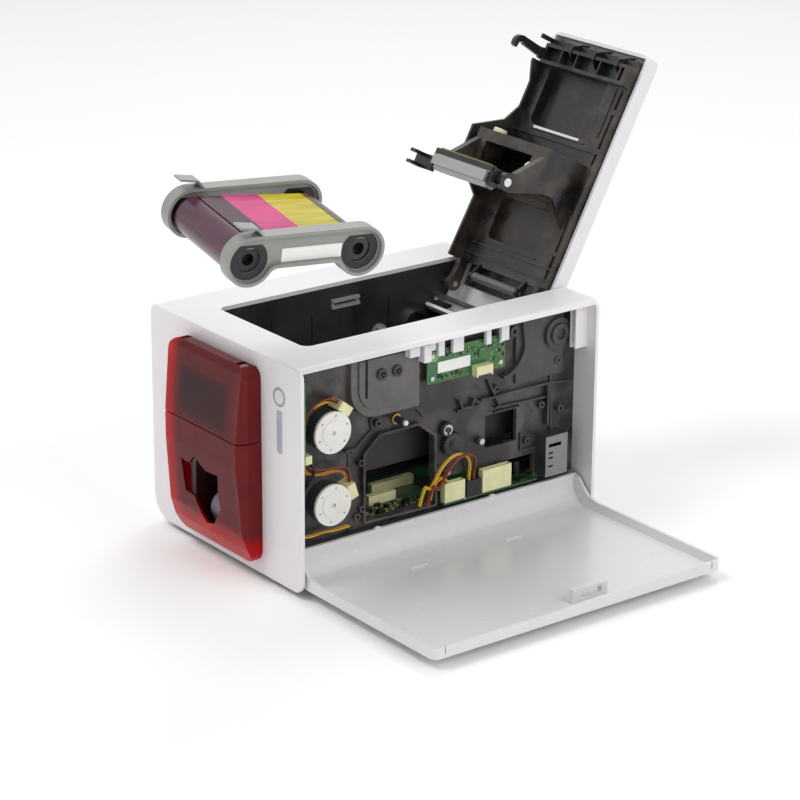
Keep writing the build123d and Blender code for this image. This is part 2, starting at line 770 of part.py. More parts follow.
with BuildPart() as sensor_board:
    box((sensor_board_x, sensor_board_x + board_thickness), sensor_board_y, sensor_board_z)
    for chip_y, chip_z, chip_w, chip_h in ((44.0, 166.0, 7.0, 7.0), (56.0, 168.0, 4.0, 6.0), (58.0, 157.0, 3.0, 3.0), (36.0, 170.0, 5.0, 3.0)):
        box(
            (sensor_board_x + board_thickness - 0.1, sensor_board_x + board_thickness + 1),
            (chip_y - chip_w / 2, chip_y + chip_w / 2),
            (chip_z - chip_h / 2, chip_z + chip_h / 2),
        )

sensor_board.part.label = "sensor_board"
export_step(sensor_board.part, "parts/sensor_board.step")

with BuildPart() as front_board:
    box(front_board_x, front_board_y, front_board_z)

front_board.part.label = "front_board"
export_step(front_board.part, "parts/front_board.step")

switch_front_y = front_board_y[0] - 2.6
with BuildPart() as front_plug:
    box((88.0, 97.0), (front_board_y[1], front_board_y[1] + 7), (110.0, 117.0))
    box((button_x - 3, button_x + 3), (switch_front_y, front_board_y[0]), (button_z - 3, button_z + 3))

front_plug.part.label = "front_plug"
export_step(front_plug.part, "parts/front_plug.step")

# ---------------------------------------------------------------- duct cover, drive housing, bracket
duct_y = (-89.0, -20.0)
duct_z = (132.0, 189.0)
duct_thickness = 5.0
duct_corner = 26.0
duct_slot_y = (-76.0, -73.5)
duct_slot_z = (150.0, 184.0)

with BuildPart() as duct_cover:
    with BuildSketch(across(chassis_face_x, 0, 0)) as duct:
        with Locations(((duct_y[0] + duct_y[1]) / 2, (duct_z[0] + duct_z[1]) / 2)):
            Rectangle(duct_y[1] - duct_y[0], duct_z[1] - duct_z[0])
        fillet(duct.vertices().group_by(Axis.Y)[0].sort_by(Axis.X)[0], duct_corner)
    extrude(duct.sketch, amount=duct_thickness)
    with BuildSketch(across(chassis_face_x + duct_thickness - 0.1, 0, 0)) as duct_lip:
        add(duct.sketch_local)
        offset(amount=-7.0)
    extrude(duct_lip.sketch, amount=1.6)
    box(
        (chassis_face_x + 1.5, chassis_face_x + duct_thickness + 2),
        duct_slot_y,
        duct_slot_z,
        Mode.SUBTRACT,
    )

duct_cover.part.label = "duct_cover"
export_step(duct_cover.part, "parts/duct_cover.step")

housing_y = 129.0
housing_z = 164.8
housing_radius = 14.0

with BuildPart() as drive_housing:
    # Curved guide rib from the ceiling down to the shelf.
    with BuildSketch(across(chassis_face_x, 0, 0)) as guide:
        with BuildLine():
            Line((88.0, 187.0), (91.0, 187.0))
            Line((91.0, 187.0), (94.0, 163.0))
            ThreePointArc((94.0, 163.0), (88.5, 146.0), (70.0, 136.0))
            Line((70.0, 136.0), (68.5, 138.8))
            ThreePointArc((68.5, 138.8), (85.6, 148.2), (91.0, 163.0))
            Line((91.0, 163.0), (88.0, 187.0))
        make_face()
    extrude(guide.sketch, amount=6.0)
    box((chassis_face_x, chassis_face_x + 2.5), (84.0, 136.0), (128.0, 186.0))
    rod(across(chassis_face_x, housing_y, housing_z), housing_radius, 5.5)
    rod(across(chassis_face_x, housing_y, housing_z), 9.0, 7.5)
    rod(across(chassis_face_x + 5.0, housing_y, housing_z), 5.0, 4.0, Mode.SUBTRACT)
    rod(across(chassis_face_x, 80.0, 176.0), 4.5, 5.5)
    rod(across(chassis_face_x + 3.0, 80.0, 176.0), 2.0, 4.0, Mode.SUBTRACT)
    box((chassis_face_x, chassis_face_x + 2.5), (76.0, 86.0), (171.0, 181.0))

drive_housing.part.label = "drive_housing"
export_step(drive_housing.part, "parts/drive_housing.step")

bracket_x = (chassis_face_x, 97.0)
bracket_y = (109.0, 133.0)
bracket_z = (41.5, 78.0)
bracket_sheet = 1.2

with BuildPart() as port_bracket:
    box(bracket_x, bracket_y, bracket_z)
    box(
        (bracket_x[0] - 1, bracket_x[1] - bracket_sheet),
        (bracket_y[0] + bracket_sheet, bracket_y[1] - bracket_sheet),
        (bracket_z[0] + bracket_sheet, bracket_z[1] - bracket_sheet),
        Mode.SUBTRACT,
    )
    for slot_z, slot_height in ((68.0, 3.0), (62.0, 1.6), (57.5, 1.6), (50.0, 1.6)):
        box(
            (bracket_x[1] - bracket_sheet - 1, bracket_x[1] + 1),
            (bracket_y[0] + 3, bracket_y[0] + (17 if slot_height > 2 else 8)),
            (slot_z, slot_z + slot_height),
            Mode.SUBTRACT,
        )

port_bracket.part.label = "port_bracket"
export_step(port_bracket.part, "parts/port_bracket.step")

# Rear sockets on the main board: mains inlet, square data port, network port.
port_depth = 16.0
port_row = (((16.0, 43.0), (39.6, 59.0)), ((46.0, 57.0), (39.6, 51.0)), ((59.0, 73.0), (39.6, 53.0)))
port_back_y = rear_y - port_depth
with BuildPart() as rear_ports:
    for x_range, z_range in port_row:
        box(x_range, (port_back_y, rear_y - 0.5), z_range)
        box(
            (x_range[0] + 1.5, x_range[1] - 1.5),
            (rear_y - 11, rear_y + 1),
            (z_range[0] + 1.5, z_range[1] - 1.5),
            Mode.SUBTRACT,
        )

rear_ports.part.label = "rear_ports"
export_step(rear_ports.part, "parts/rear_ports.step")

# ---------------------------------------------------------------- chamber fittings
bar_y = (109.0, 115.0)
bar_z = (160.0, 166.0)
catch_y = (-1.0, 28.0)
drive_ring_y = 89.0
drive_ring_z = 141.0
drive_ring_radius = 14.0
dog_places = ((-45.8, 141.0), (50.0, 141.0))
dog_radius = 8.0

with BuildPart() as cross_bar:
    box((-opening_half_width, opening_half_width), bar_y, bar_z)
    box((-opening_half_width + 4, opening_half_width - 4), (bar_y[0] - 1, bar_y[1] - 2), (bar_z[0] - 1, bar_z[1] - 2), Mode.SUBTRACT)

cross_bar.part.label = "cross_bar"
export_step(cross_bar.part, "parts/cross_bar.step")

with BuildPart() as wall_catch:
    box((-opening_half_width, -opening_half_width + 3.2), catch_y, (177.6, 180.2))
    box((-opening_half_width, -opening_half_width + 3.2), catch_y, (172.0, 174.8))
    box((-opening_half_width, -opening_half_width + 1.2), (catch_y[0], catch_y[0] + 3), (172.0, 180.2))
    box((-opening_half_width, -opening_half_width + 1.2), (catch_y[1] - 3, catch_y[1]), (172.0, 180.2))

wall_catch.part.label = "wall_catch"
export_step(wall_catch.part, "parts/wall_catch.step")

with BuildPart() as drive_ring:
    with BuildSketch(across(-opening_half_width, drive_ring_y, drive_ring_z)) as ring_shape:
        Circle(drive_ring_radius)
        Circle(drive_ring_radius - 3, mode=Mode.SUBTRACT)
    extrude(ring_shape.sketch, amount=6.0)

drive_ring.part.label = "drive_ring"
export_step(drive_ring.part, "parts/drive_ring.step")


def dog(y, z):
    """Splined hub that drives a spool, on a shaft through the far wall."""
    rod(across(-opening_half_width + face_gap, y, z), dog_radius, 2.0)
    with BuildSketch(across(-opening_half_width + face_gap, y, z)) as spline:
        Circle(dog_radius - 3)
        with PolarLocations(dog_radius - 3, 6):
            Rectangle(3.0, 1.6)
    extrude(spline.sketch, amount=7.0)


with BuildPart() as supply_dog:
    dog(*dog_places[0])

supply_dog.part.label = "supply_dog"
export_step(supply_dog.part, "parts/supply_dog.step")

with BuildPart() as take_up_dog:
    dog(*dog_places[1])

take_up_dog.part.label = "take_up_dog"
export_step(take_up_dog.part, "parts/take_up_dog.step")

# Pins in the chamber walls that the lid turns on.
lid_ear_x = (50.0, 56.0)
with BuildPart() as lid_hinge_pins:
    for side in (-1, 1):
        start = side * opening_half_width if side < 0 else lid_ear_x[0] - 1
        rod(across(start, hinge_y, hinge_z), lid_pin_radius, opening_half_width - lid_ear_x[0] + 1)

lid_hinge_pins.part.label = "lid_hinge_pins"
export_step(lid_hinge_pins.part, "parts/lid_hinge_pins.step")

# ---------------------------------------------------------------- front covers
cover_axis_y = front_y - face_gap - cover_axis_drop
cover_axis_z = cover_top - cover_axis_drop


def cover_body(inset, depth_beyond):
    """Bulged block of the two front covers; inset shrinks it to the hollow inside them."""
    top = cover_top - inset
    bottom = cover_bottom + inset
    half = cover_half_width - inset
    belly_z = (cover_top + cover_bottom) / 2 + 10
    belly_y = front_y - cover_depth_belly + inset
    low_y = front_y - cover_depth_low + inset
    high_y = front_y - cover_depth_top + inset
    bend_radius = 3.0 - inset
    side_profile = (
        (front_y + depth_beyond, top),
        (high_y + 3.5, top),
        (high_y, top - 5),
        (belly_y, belly_z + 12),
        (belly_y, belly_z - 12),
        (low_y, cover_low_z),
        (low_y + 4, cover_low_z - 14),
        (low_y + 11, bottom),
        (front_y + depth_beyond, bottom),
    )
    plan_profile = (
        (-half, front_y + depth_beyond),
        (-half, belly_y + cover_corner_cut),
        (-half + cover_corner_cut / 2, belly_y),
        (half - cover_corner_cut / 2, belly_y),
        (half, belly_y + cover_corner_cut),
        (half, front_y + depth_beyond),
    )
    with BuildPart() as body:
        with BuildSketch(across(-half, 0, 0)) as side_view:
            Polygon(*side_profile)
            fillet(side_view.vertices().filter_by_position(Axis.X, front_y - 30, front_y - 3), bend_radius)
        extrude(amount=2 * half)
        with BuildSketch() as plan_view:
            Polygon(*plan_profile)
            fillet(plan_view.vertices().filter_by_position(Axis.Y, front_y - 30, front_y - 3), bend_radius)
        extrude(amount=case_top, mode=Mode.INTERSECT)
        with BuildSketch(Plane.XZ.offset(-front_y - depth_beyond)) as front_view:
            with Locations((0, (top + bottom) / 2)):
                Rectangle(2 * half, top - bottom)
            fillet(front_view.vertices(), cover_side_radius - inset)
        extrude(amount=60, mode=Mode.INTERSECT)
    return body.part


outer_body = cover_body(0, 0)
inner_body = cover_body(cover_wall, 12.0)
cutout_points = (
    (-32.6, 85.0),
    (-25.0, 83.5),
    (-20.5, 84.0),
    (-13.0, 91.7),
    (-4.0, 87.5),
    (3.7, 84.0),
    (21.0, 84.8),
    (20.0, 68.0),
    (22.0, 54.7),
    (10.0, 38.4),
    (-2.6, 35.0),
    (-16.6, 55.6),
    (-29.6, 56.2),
)
lower_top = cover_parting - cover_parting_gap

with BuildPart() as hopper_cover:
    add(outer_body)
    add(inner_body, mode=Mode.SUBTRACT)
    split(bisect_by=Plane.XY.offset(lower_top), keep=Keep.BOTTOM)
    # Ledge along the parting line, so that the lower cover is closed at the top.
    box(
        (-cover_half_width + 1, cover_half_width - 1),
        (front_y - cover_depth_belly + 6, front_y),
        (lower_top - cover_wall, lower_top),
    )
    plate(Plane.XZ.offset(-front_y + 8), cutout_points, 30, Mode.SUBTRACT)

hopper_cover.part.label = "hopper_cover"
export_step(hopper_cover.part, "parts/hopper_cover.step")

cover_pin_end = 38.0
ear_x = (38.5, 42.5)
ear_radius = 3.5
ear_side_gap = 0.6
with BuildPart() as feeder_cover:
    add(outer_body)
    add(inner_body, mode=Mode.SUBTRACT)
    split(bisect_by=Plane.XY.offset(cover_parting), keep=Keep.TOP)
    # Rear edge stands clear of the panel, rounded about the hinge axis at the top.
    box((-60, 60), (front_y - face_gap, front_y + 1), (cover_bottom, cover_top + 1), Mode.SUBTRACT)
    with BuildSketch(across(-cover_half_width - 1, 0, 0)) as heel:
        with Locations((cover_axis_y + cover_axis_drop / 2 + 0.5, cover_axis_z + cover_axis_drop / 2 + 0.5)):
            Rectangle(cover_axis_drop + 1, cover_axis_drop + 1)
        with Locations((cover_axis_y, cover_axis_z)):
            Circle(cover_axis_drop, mode=Mode.SUBTRACT)
    extrude(heel.sketch, amount=2 * cover_half_width + 2, mode=Mode.SUBTRACT)
    # Slots in the top edge, so that the cover turns past the two ears it hangs on.
    for side in (-1, 1):
        inner, outer = sorted((side * (ear_x[0] - ear_side_gap), side * (ear_x[1] + ear_side_gap)))
        box((inner, outer), (cover_axis_y - cover_axis_drop, front_y), (cover_axis_z + 3, cover_top + 1), Mode.SUBTRACT)
    # Pins on the inside of the side walls.
    for side in (-1, 1):
        start = side * (cover_half_width - cover_wall / 2) if side < 0 else cover_pin_end
        rod(across(start, cover_axis_y, cover_axis_z), cover_pin_radius, cover_half_width - cover_wall / 2 - cover_pin_end)
    # Grip ribs inside the front wall.
    for rib_x in (-34.0, 34.0):
        box((rib_x - 1, rib_x + 1), (front_y - cover_depth_belly + 4.5, front_y - 12), (126.0, 168.0))

feeder_cover.part.label = "feeder_cover"
export_step(feeder_cover.part, "parts/feeder_cover.step")

# ---------------------------------------------------------------- feeder and hopper bodies
flange_thickness = 2.0
flange_half_width = 52.0
feeder_flange_z = (98.0, 184.0)
hopper_flange_z = (16.0, 92.0)
flange_rear_y = front_inner_y + flange_thickness

with BuildPart() as feeder_body:
    box((-flange_half_width, flange_half_width), (front_inner_y, flange_rear_y), feeder_flange_z)
    box((-feeder_half_width, feeder_half_width), (front_inner_y, feeder_rear_y), (feeder_low_z, feeder_high_z))
    # Cheeks under the floor that carry the pick roller.
    for side in (-1, 1):
        inner, outer = sorted((side * (feeder_half_width - feeder_wall), side * feeder_half_width))
        box((inner, outer), (pick_y - 9, pick_y + 9), (pick_z - 7, feeder_low_z + 1))
    # Hollow for the card stack, open at the front.
    box(
        (-feeder_half_width + feeder_wall, feeder_half_width - feeder_wall),
        (front_inner_y - 1, feeder_rear_y - feeder_wall),
        (feeder_low_z + feeder_floor, feeder_high_z - feeder_wall),
        Mode.SUBTRACT,
    )
    # Slot in the floor for the pick roller, and card exit slot in the rear wall.
    box(
        (-pick_roller_half - 1.5, pick_roller_half + 1.5),
        (pick_y - 9.5, pick_y + 9.5),
        (feeder_low_z - 1, feeder_low_z + feeder_floor + 1),
        Mode.SUBTRACT,
    )
    box(
        (-28.0, 28.0),
        (feeder_rear_y - feeder_wall - 1, feeder_rear_y + 1),
        (feeder_low_z + feeder_floor, feeder_low_z + feeder_floor + 5),
        Mode.SUBTRACT,
    )
    rod(
        across(-feeder_half_width - 1, pick_y, pick_z),
        pick_shaft_radius + pin_clearance,
        2 * feeder_half_width + 2,
        Mode.SUBTRACT,
    )
    # Ears that reach out through the front panel and carry the feeder cover.
    for side in (-1, 1):
        inner, outer = sorted((side * ear_x[0], side * ear_x[1]))
        box((inner, outer), (cover_axis_y, front_inner_y + 0.5), (cover_axis_z - ear_radius, cover_axis_z + ear_radius))
        rod(across(inner, cover_axis_y, cover_axis_z), ear_radius, ear_x[1] - ear_x[0])
    rod(
        across(-panel_opening_half_width, cover_axis_y, cover_axis_z),
        cover_pin_radius + pin_clearance,
        2 * panel_opening_half_width,
        Mode.SUBTRACT,
    )
    # Vertical guides each side of the mouth.
    for guide_x in (-40.0, 38.0):
        box((guide_x, guide_x + 2), (front_y - 7, front_inner_y + 0.5), (cover_parting + 3, 170.0))

feeder_body.part.label = "feeder_body"
export_step(feeder_body.part, "parts/feeder_body.step")

with BuildPart() as hopper_body:
    box((-flange_half_width, flange_half_width), (front_inner_y, flange_rear_y), hopper_flange_z)
    box((-hopper_half_width, hopper_half_width), (front_inner_y, hopper_rear_y), (hopper_low_z, hopper_high_z))
    box(
        (-hopper_half_width + feeder_wall, hopper_half_width - feeder_wall),
        (front_inner_y - 1, hopper_rear_y - feeder_wall),
        (hopper_low_z + feeder_wall, hopper_high_z - feeder_wall),
        Mode.SUBTRACT,
    )
    box(
        (-28.0, 28.0),
        (hopper_rear_y - feeder_wall - 1, hopper_rear_y + 1),
        (hopper_high_z - 9, hopper_high_z - feeder_wall),
        Mode.SUBTRACT,
    )

hopper_body.part.label = "hopper_body"
export_step(hopper_body.part, "parts/hopper_body.step")

# Rounded card guide that stands in the hopper, behind the cut-out.
with BuildPart() as hopper_guide:
    with BuildSketch(across(-12.0, 0, 0)) as guide_side:
        with BuildLine():
            Line((-140.0, hopper_low_z + feeder_wall), (-152.0, hopper_low_z + feeder_wall))
            Line((-152.0, hopper_low_z + feeder_wall), (-160.0, 40.0))
            ThreePointArc((-160.0, 40.0), (-157.0, 52.0), (-146.0, 56.0))
            Line((-146.0, 56.0), (-140.0, 52.0))
            Line((-140.0, 52.0), (-140.0, hopper_low_z + feeder_wall))
        make_face()
    extrude(guide_side.sketch, amount=24.0)
    fillet(hopper_guide.edges().filter_by(Axis.X).group_by(Axis.Y)[0], 3.0)

hopper_guide.part.label = "hopper_guide"
export_step(hopper_guide.part, "parts/hopper_guide.step")

# ---------------------------------------------------------------- button, ring, light bar
outward = Plane(origin=(button_x, front_y, button_z), x_dir=(1, 0, 0), z_dir=(0, -1, 0))
button_flange = 7.2
with BuildPart() as button_cap:
    rod(outward.offset(-case_wall - face_gap), button_radius, case_wall + face_gap + 0.8)
    fillet(button_cap.edges().group_by(Axis.Y)[0], 0.6)
    rod(outward.offset(-case_wall - face_gap - 1.4), button_flange, 1.4)
    rod(outward.offset(-(switch_front_y - front_y) + button_travel + 0.1), 2.0, 3.0)

button_cap.part.label = "button_cap"
export_step(button_cap.part, "parts/button_cap.step")

with BuildPart() as button_ring:
    with BuildSketch(outward) as ring_outline:
        Circle(ring_radius)
        Circle(button_radius + face_gap, mode=Mode.SUBTRACT)
    extrude(ring_outline.sketch, amount=0.5)

button_ring.part.label = "button_ring"
export_step(button_ring.part, "parts/button_ring.step")

with BuildPart() as light_bar:
    with BuildSketch(Plane.XZ.offset(-front_board_y[0])) as light_shape:
        with Locations((button_x, (light_top_z + light_bottom_z) / 2)):
            Rectangle(light_width - 0.2, light_top_z - light_bottom_z - 0.2)
        fillet(light_shape.vertices().group_by(Axis.Y)[0], light_width / 2 - 0.3)
    extrude(light_shape.sketch, amount=front_board_y[0] - front_y + 0.3)

light_bar.part.label = "light_bar"
export_step(light_bar.part, "parts/light_bar.step")

# ---------------------------------------------------------------- lid cover
barrel_start = sqrt(lid_barrel_radius**2 - lid_hinge_drop**2)
barrel_top_angle = degrees(atan2(lid_hinge_drop, barrel_start))


def on_barrel(radius, angle):
    """Point of the barrel in lid coordinates; 0 degrees points away from the lid's front edge."""
    return (-radius * cos(radians(angle)), lid_hinge_drop - radius * sin(radians(angle)))


barrel_inner_radius = lid_barrel_radius - lid_skin
barrel_inner_start = sqrt(barrel_inner_radius**2 - (lid_hinge_drop - lid_skin) ** 2)
barrel_inner_angle = degrees(atan2(lid_hinge_drop - lid_skin, barrel_inner_start))

with BuildPart() as lid_cover:
    with BuildSketch(lid_section(-lid_half_width)) as lid_side_view:
        with BuildLine():
            Line((lid_reach, 0), (-barrel_start, 0))
            ThreePointArc(
                (-barrel_start, 0),
                on_barrel(lid_barrel_radius, (barrel_top_angle - lid_barrel_end_angle) / 2),
                on_barrel(lid_barrel_radius, -lid_barrel_end_angle),
            )
            Line(
                on_barrel(lid_barrel_radius, -lid_barrel_end_angle),
                on_barrel(barrel_inner_radius, -lid_barrel_end_angle),
            )
            ThreePointArc(
                on_barrel(barrel_inner_radius, -lid_barrel_end_angle),
                on_barrel(barrel_inner_radius, (barrel_inner_angle - lid_barrel_end_angle) / 2),
                (-barrel_inner_start, lid_skin),
            )
            Line((-barrel_inner_start, lid_skin), (lid_reach, lid_skin))
            Line((lid_reach, lid_skin), (lid_reach, 0))
        make_face()
    extrude(lid_side_view.sketch, amount=2 * lid_half_width)
    # Side walls and front wall of the tray.
    for wall_x in (-lid_half_width, lid_half_width - lid_side_wall):
        with BuildSketch(lid_section(wall_x)) as wall_view:
            Polygon(
                (lid_reach, lid_skin / 2),
                (lid_reach, lid_side_depth),
                (8.0, lid_side_depth),
                (-12.0, lid_side_depth),
                (-18.0, lid_skin / 2),
            )
        extrude(wall_view.sketch, amount=lid_side_wall)
    with BuildSketch(lid_section(-lid_half_width)) as front_wall:
        Polygon(
            (lid_reach - lid_side_wall, lid_skin / 2),
            (lid_reach, lid_skin / 2),
            (lid_reach, lid_side_depth),
            (lid_reach - lid_side_wall, lid_side_depth),
        )
    extrude(front_wall.sketch, amount=2 * lid_half_width)
    # Rounded front corners, seen from above.
    with BuildSketch(lid_plan(-1)) as corner_cut:
        with Locations((0, lid_reach - 30)):
            Rectangle(2 * lid_half_width + 4, 64)
        with Locations((0, lid_reach - 40)):
            Rectangle(2 * lid_half_width, 80, mode=Mode.SUBTRACT)
        for side in (-1, 1):
            with Locations((side * (lid_half_width - lid_corner_radius / 2), lid_reach - lid_corner_radius / 2)):
                Rectangle(lid_corner_radius, lid_corner_radius)
            with Locations((side * (lid_half_width - lid_corner_radius), lid_reach - lid_corner_radius)):
                Circle(lid_corner_radius, mode=Mode.SUBTRACT)
    extrude(corner_cut.sketch, amount=lid_side_depth + 3, mode=Mode.SUBTRACT)

lid_cover.part.label = "lid_cover"
export_step(lid_cover.part, "parts/lid_cover.step")

# ---------------------------------------------------------------- lid frame
frame_half = lid_half_width - lid_side_wall - 1.0
frame_wall = 2.4
frame_face = 15.0
frame_sheet = 3.0
frame_back = 22.0
frame_front = 232.0
ear_hub_radius = 6.5
pocket_upper = (-46.0, 34.0, 153.0, 214.0, 6.5)
pocket_lower = (-40.0, 30.0, 46.0, 90.0, 7.5)
side_top = ((22, 15), (22, 35), (78, 33.5), (104, 66), (134, 66), (150, 34), (166, 24), (190, 24), (206, 31), (232, 31), (232, 15))
near_rail = ((22, 3), (22, 18), (60, 20), (90, 22), (120, 22), (150, 20), (232, 18), (232, 3))
block_x = (-46.0, 46.0)
block_s = (97.0, 134.0)
block_depth = 66.0
carriage_s = 93.0
carriage_depth = 95.0
arm_x = (40.0, 46.0)
arm_radius = 7.5
carriage_pin_radius = 2.5
idler_s = 12.0
idler_depth = 21.0
idler_radius = 4.0
idler_pin_radius = 1.5
latch_s = 216.0
latch_depth = 24.0
latch_pin_radius = 2.0
fin_x_places = (-20.0, 10.0, 40.0)


def lid_box(x_range, s_range, depth_range, mode=Mode.ADD):
    """Block in the open lid, between limits across, along and below its skin."""
    with BuildSketch(lid_plan(depth_range[0])) as section:
        with Locations(((x_range[0] + x_range[1]) / 2, (s_range[0] + s_range[1]) / 2)):
            Rectangle(x_range[1] - x_range[0], s_range[1] - s_range[0])
    extrude(section.sketch, amount=depth_range[1] - depth_range[0], mode=mode)


def lid_rod(x_range, s, depth, radius, mode=Mode.ADD):
    """Round bar across the open lid."""
    with BuildSketch(lid_section(x_range[0])) as section:
        with Locations((s, depth)):
            Circle(radius)
    extrude(section.sketch, amount=x_range[1] - x_range[0], mode=mode)


with BuildPart() as lid_frame:
    # Face plate and rails.
    lid_box((-frame_half, frame_half), (frame_back, frame_front), (frame_face, frame_face + frame_sheet))
    plate(lid_section(frame_half - frame_wall), near_rail, frame_wall)
    plate(lid_section(-frame_half), side_top, frame_wall)
    lid_box((-frame_half, -frame_half + frame_wall), (frame_back, frame_front), (lid_skin, frame_face + 1))
    lid_box((-frame_half, frame_half), (frame_back, frame_back + frame_wall), (lid_skin, frame_face + 1))
    lid_box((-frame_half, frame_half), (frame_front - frame_wall, frame_front), (lid_skin, frame_face + 1))
    # Pockets: rounded hollows that clear the ribbon rolls.
    for low_x, high_x, low_s, high_s, floor_depth in (pocket_upper, pocket_lower):
        middle = ((low_x + high_x) / 2, (low_s + high_s) / 2)
        with BuildSketch(lid_plan(floor_depth)) as tub:
            with Locations(middle):
                RectangleRounded(high_x - low_x, high_s - low_s, 9.0)
        extrude(tub.sketch, amount=frame_face + frame_sheet - floor_depth)
        with BuildSketch(lid_plan(floor_depth + frame_wall)) as hollow:
            with Locations(middle):
                RectangleRounded(high_x - low_x - 2 * frame_wall, high_s - low_s - 2 * frame_wall, 9.0 - frame_wall)
        extrude(hollow.sketch, amount=frame_face + frame_sheet - floor_depth + 1, mode=Mode.SUBTRACT)
    # Hollow block that holds the head carriage.
    lid_box(block_x, block_s, (frame_face, block_depth))
    lid_box(
        (block_x[0] + 14, block_x[1] - 16),
        (block_s[0] + 4, block_s[1] - 10),
        (frame_face + 8, block_depth + 1),
        Mode.SUBTRACT,
    )
    lid_box(
        (block_x[0] + frame_wall, block_x[1] - frame_wall),
        (block_s[0] + frame_wall, block_s[1] - frame_wall),
        (frame_face - 1, block_depth - 24),
        Mode.SUBTRACT,
    )
    lid_box(block_x, block_s, (frame_face, frame_face + frame_sheet))
    # Far gusset that joins the block to the side wall.
    lid_box((-frame_half, block_x[0] + 1), (102.0, 104.4), (frame_face, 60.0))
    lid_box((-frame_half, block_x[0] + 1), (128.0, 130.4), (frame_face, 60.0))
    # Near gusset, a sloping web from the block to the near rail.
    plate(lid_section(block_x[1] - frame_wall), ((97, 66), (97, 40), (76, 18), (134, 18), (134, 66)), frame_wall)
    # Arms that carry the head carriage.
    for side in (-1, 1):
        inner, outer = sorted((side * arm_x[0], side * arm_x[1]))
        plate(
            lid_section(inner),
            (
                (block_s[0], block_depth - 14),
                (carriage_s - arm_radius, carriage_depth - 6),
                (carriage_s - arm_radius, carriage_depth),
                (carriage_s + arm_radius, carriage_depth),
                (carriage_s + arm_radius + 2, carriage_depth - 6),
                (block_s[1] - 8, block_depth - 1),
                (block_s[1] - 8, block_depth - 14),
            ),
            outer - inner,
        )
        lid_rod((inner, outer), carriage_s, carriage_depth, arm_radius)
        lid_rod((inner - 1, outer + 1), carriage_s, carriage_depth, carriage_pin_radius + pin_clearance, Mode.SUBTRACT)
    # Front bar, with the latch bearings and the barbs along the edge.
    lid_box((-frame_half, frame_half), (208.0, 226.0), (frame_face, 26.0))
    lid_box((-frame_half + 8, frame_half - 6), (211.0, 223.0), (frame_face + frame_sheet, 27.0), Mode.SUBTRACT)
    for fin_x in fin_x_places:
        plate(lid_section(fin_x), ((214, 17), (228, 17), (236, 7), (235, 12), (229, 27), (222, 27)), 2.2)
    for rib_x in (-30.0, -10.0, 20.0, 46.0):
        lid_box((rib_x, rib_x + 1.6), (209.0, 226.0), (frame_face, 26.0))
    # Recess at the far end of the bar with the pin that the latch hook turns on.
    lid_box(
        (-frame_half - 1, hook_x[1] + 0.6),
        (209.0, 228.0),
        (frame_face + frame_sheet, 33.0),
        Mode.SUBTRACT,
    )
    lid_rod((hook_x[0], hook_x[1] + 2), latch_s, latch_depth, latch_pin_radius)
    # Ribs across the face between the pockets.
    for rib_s in (30.0, 40.0, 146.0):
        lid_box((-frame_half, frame_half), (rib_s, rib_s + 1.6), (frame_face, 20.5))
    # Hinge ears at the back, and the arms of the idler roller.
    for side in (-1, 1):
        inner, outer = sorted((side * lid_ear_x[0], side * lid_ear_x[1]))
        plate(
            lid_section(inner),
            ((-2, 14.5), (24, frame_face), (24, 25.0), (14, 24.0), (-2, 26.5)),
            outer - inner,
        )
        lid_rod((inner, outer), 0, lid_hinge_drop, ear_hub_radius)
        lid_rod((inner - 1, outer + 1), 0, lid_hinge_drop, lid_pin_radius + pin_clearance, Mode.SUBTRACT)
        low_x, high_x = sorted((side * (roller_half_length + 0.5), side * (roller_half_length + 3.5)))
        plate(lid_section(low_x), ((idler_s, 16.5), (24, frame_face), (24, 19), (idler_s, 25)), high_x - low_x)
        lid_rod((low_x, high_x), idler_s, idler_depth, 4.4)
        lid_rod((low_x - 1, high_x + 1), idler_s, idler_depth, idler_pin_radius + pin_clearance, Mode.SUBTRACT)

lid_frame.part.label = "lid_frame"
export_step(lid_frame.part, "parts/lid_frame.step")

# ---------------------------------------------------------------- print-head carriage
carriage_boss_x = (36.0, 39.6)
fork_x = (-60.0, -50.0)
fork_tip_depth = 120.0
platen_s = hinge_y - platen_y
fork_gap_s = (platen_s - 4.5, platen_s + 2.5)

with BuildPart() as head_carriage:
    # End bosses inside the arms, the beam between them, and its back plate.
    for side in (-1, 1):
        inner, outer = sorted((side * carriage_boss_x[0], side * carriage_boss_x[1]))
        lid_rod((inner, outer), carriage_s, carriage_depth, 7.0)
        plate(lid_section(inner), ((86.5, 95), (99.5, 95), (101, 108), (85, 108)), outer - inner)
        lid_rod((inner - 1, outer + 1), carriage_s, carriage_depth, carriage_pin_radius + pin_clearance, Mode.SUBTRACT)
    lid_box((-38.0, 38.0), (96.5, 101.0), (97.0, 109.0))
    lid_box((-38.0, 38.0), (85.0, 101.0), (103.5, 106.0))
    # Far bracket with the two fork prongs that straddle the platen's shaft.
    lid_box((fork_x[0], -36.0), (fork_gap_s[0] - 3, fork_gap_s[1] + 3), (104.6, 109.0))
    for low_s in (fork_gap_s[0] - 3, fork_gap_s[1]):
        lid_box((fork_x[0] + 3, fork_x[1]), (low_s, low_s + 3), (108.5, fork_tip_depth))
    lid_box((38.0, 46.0), (84.0, 88.0), (104.6, 108.0))

head_carriage.part.label = "head_carriage"
export_step(head_carriage.part, "parts/head_carriage.step")

# Silver heat sink with ribs along the print line.
sink_half = 35.5
with BuildPart() as heat_sink:
    lid_box((-sink_half, sink_half), (83.9, 96.4), (106.0, 108.0))
    lid_box((-sink_half, sink_half), (86.5, 95.5), (107.9, 112.0))
    lid_box((-sink_half, sink_half), (83.9, 85.0), (98.0, 108.0))
    for fin in range(5):
        fin_depth = 98.0 + fin * 2.1
        lid_box((-sink_half, sink_half), (82.4, 84.0), (fin_depth, fin_depth + 0.9))

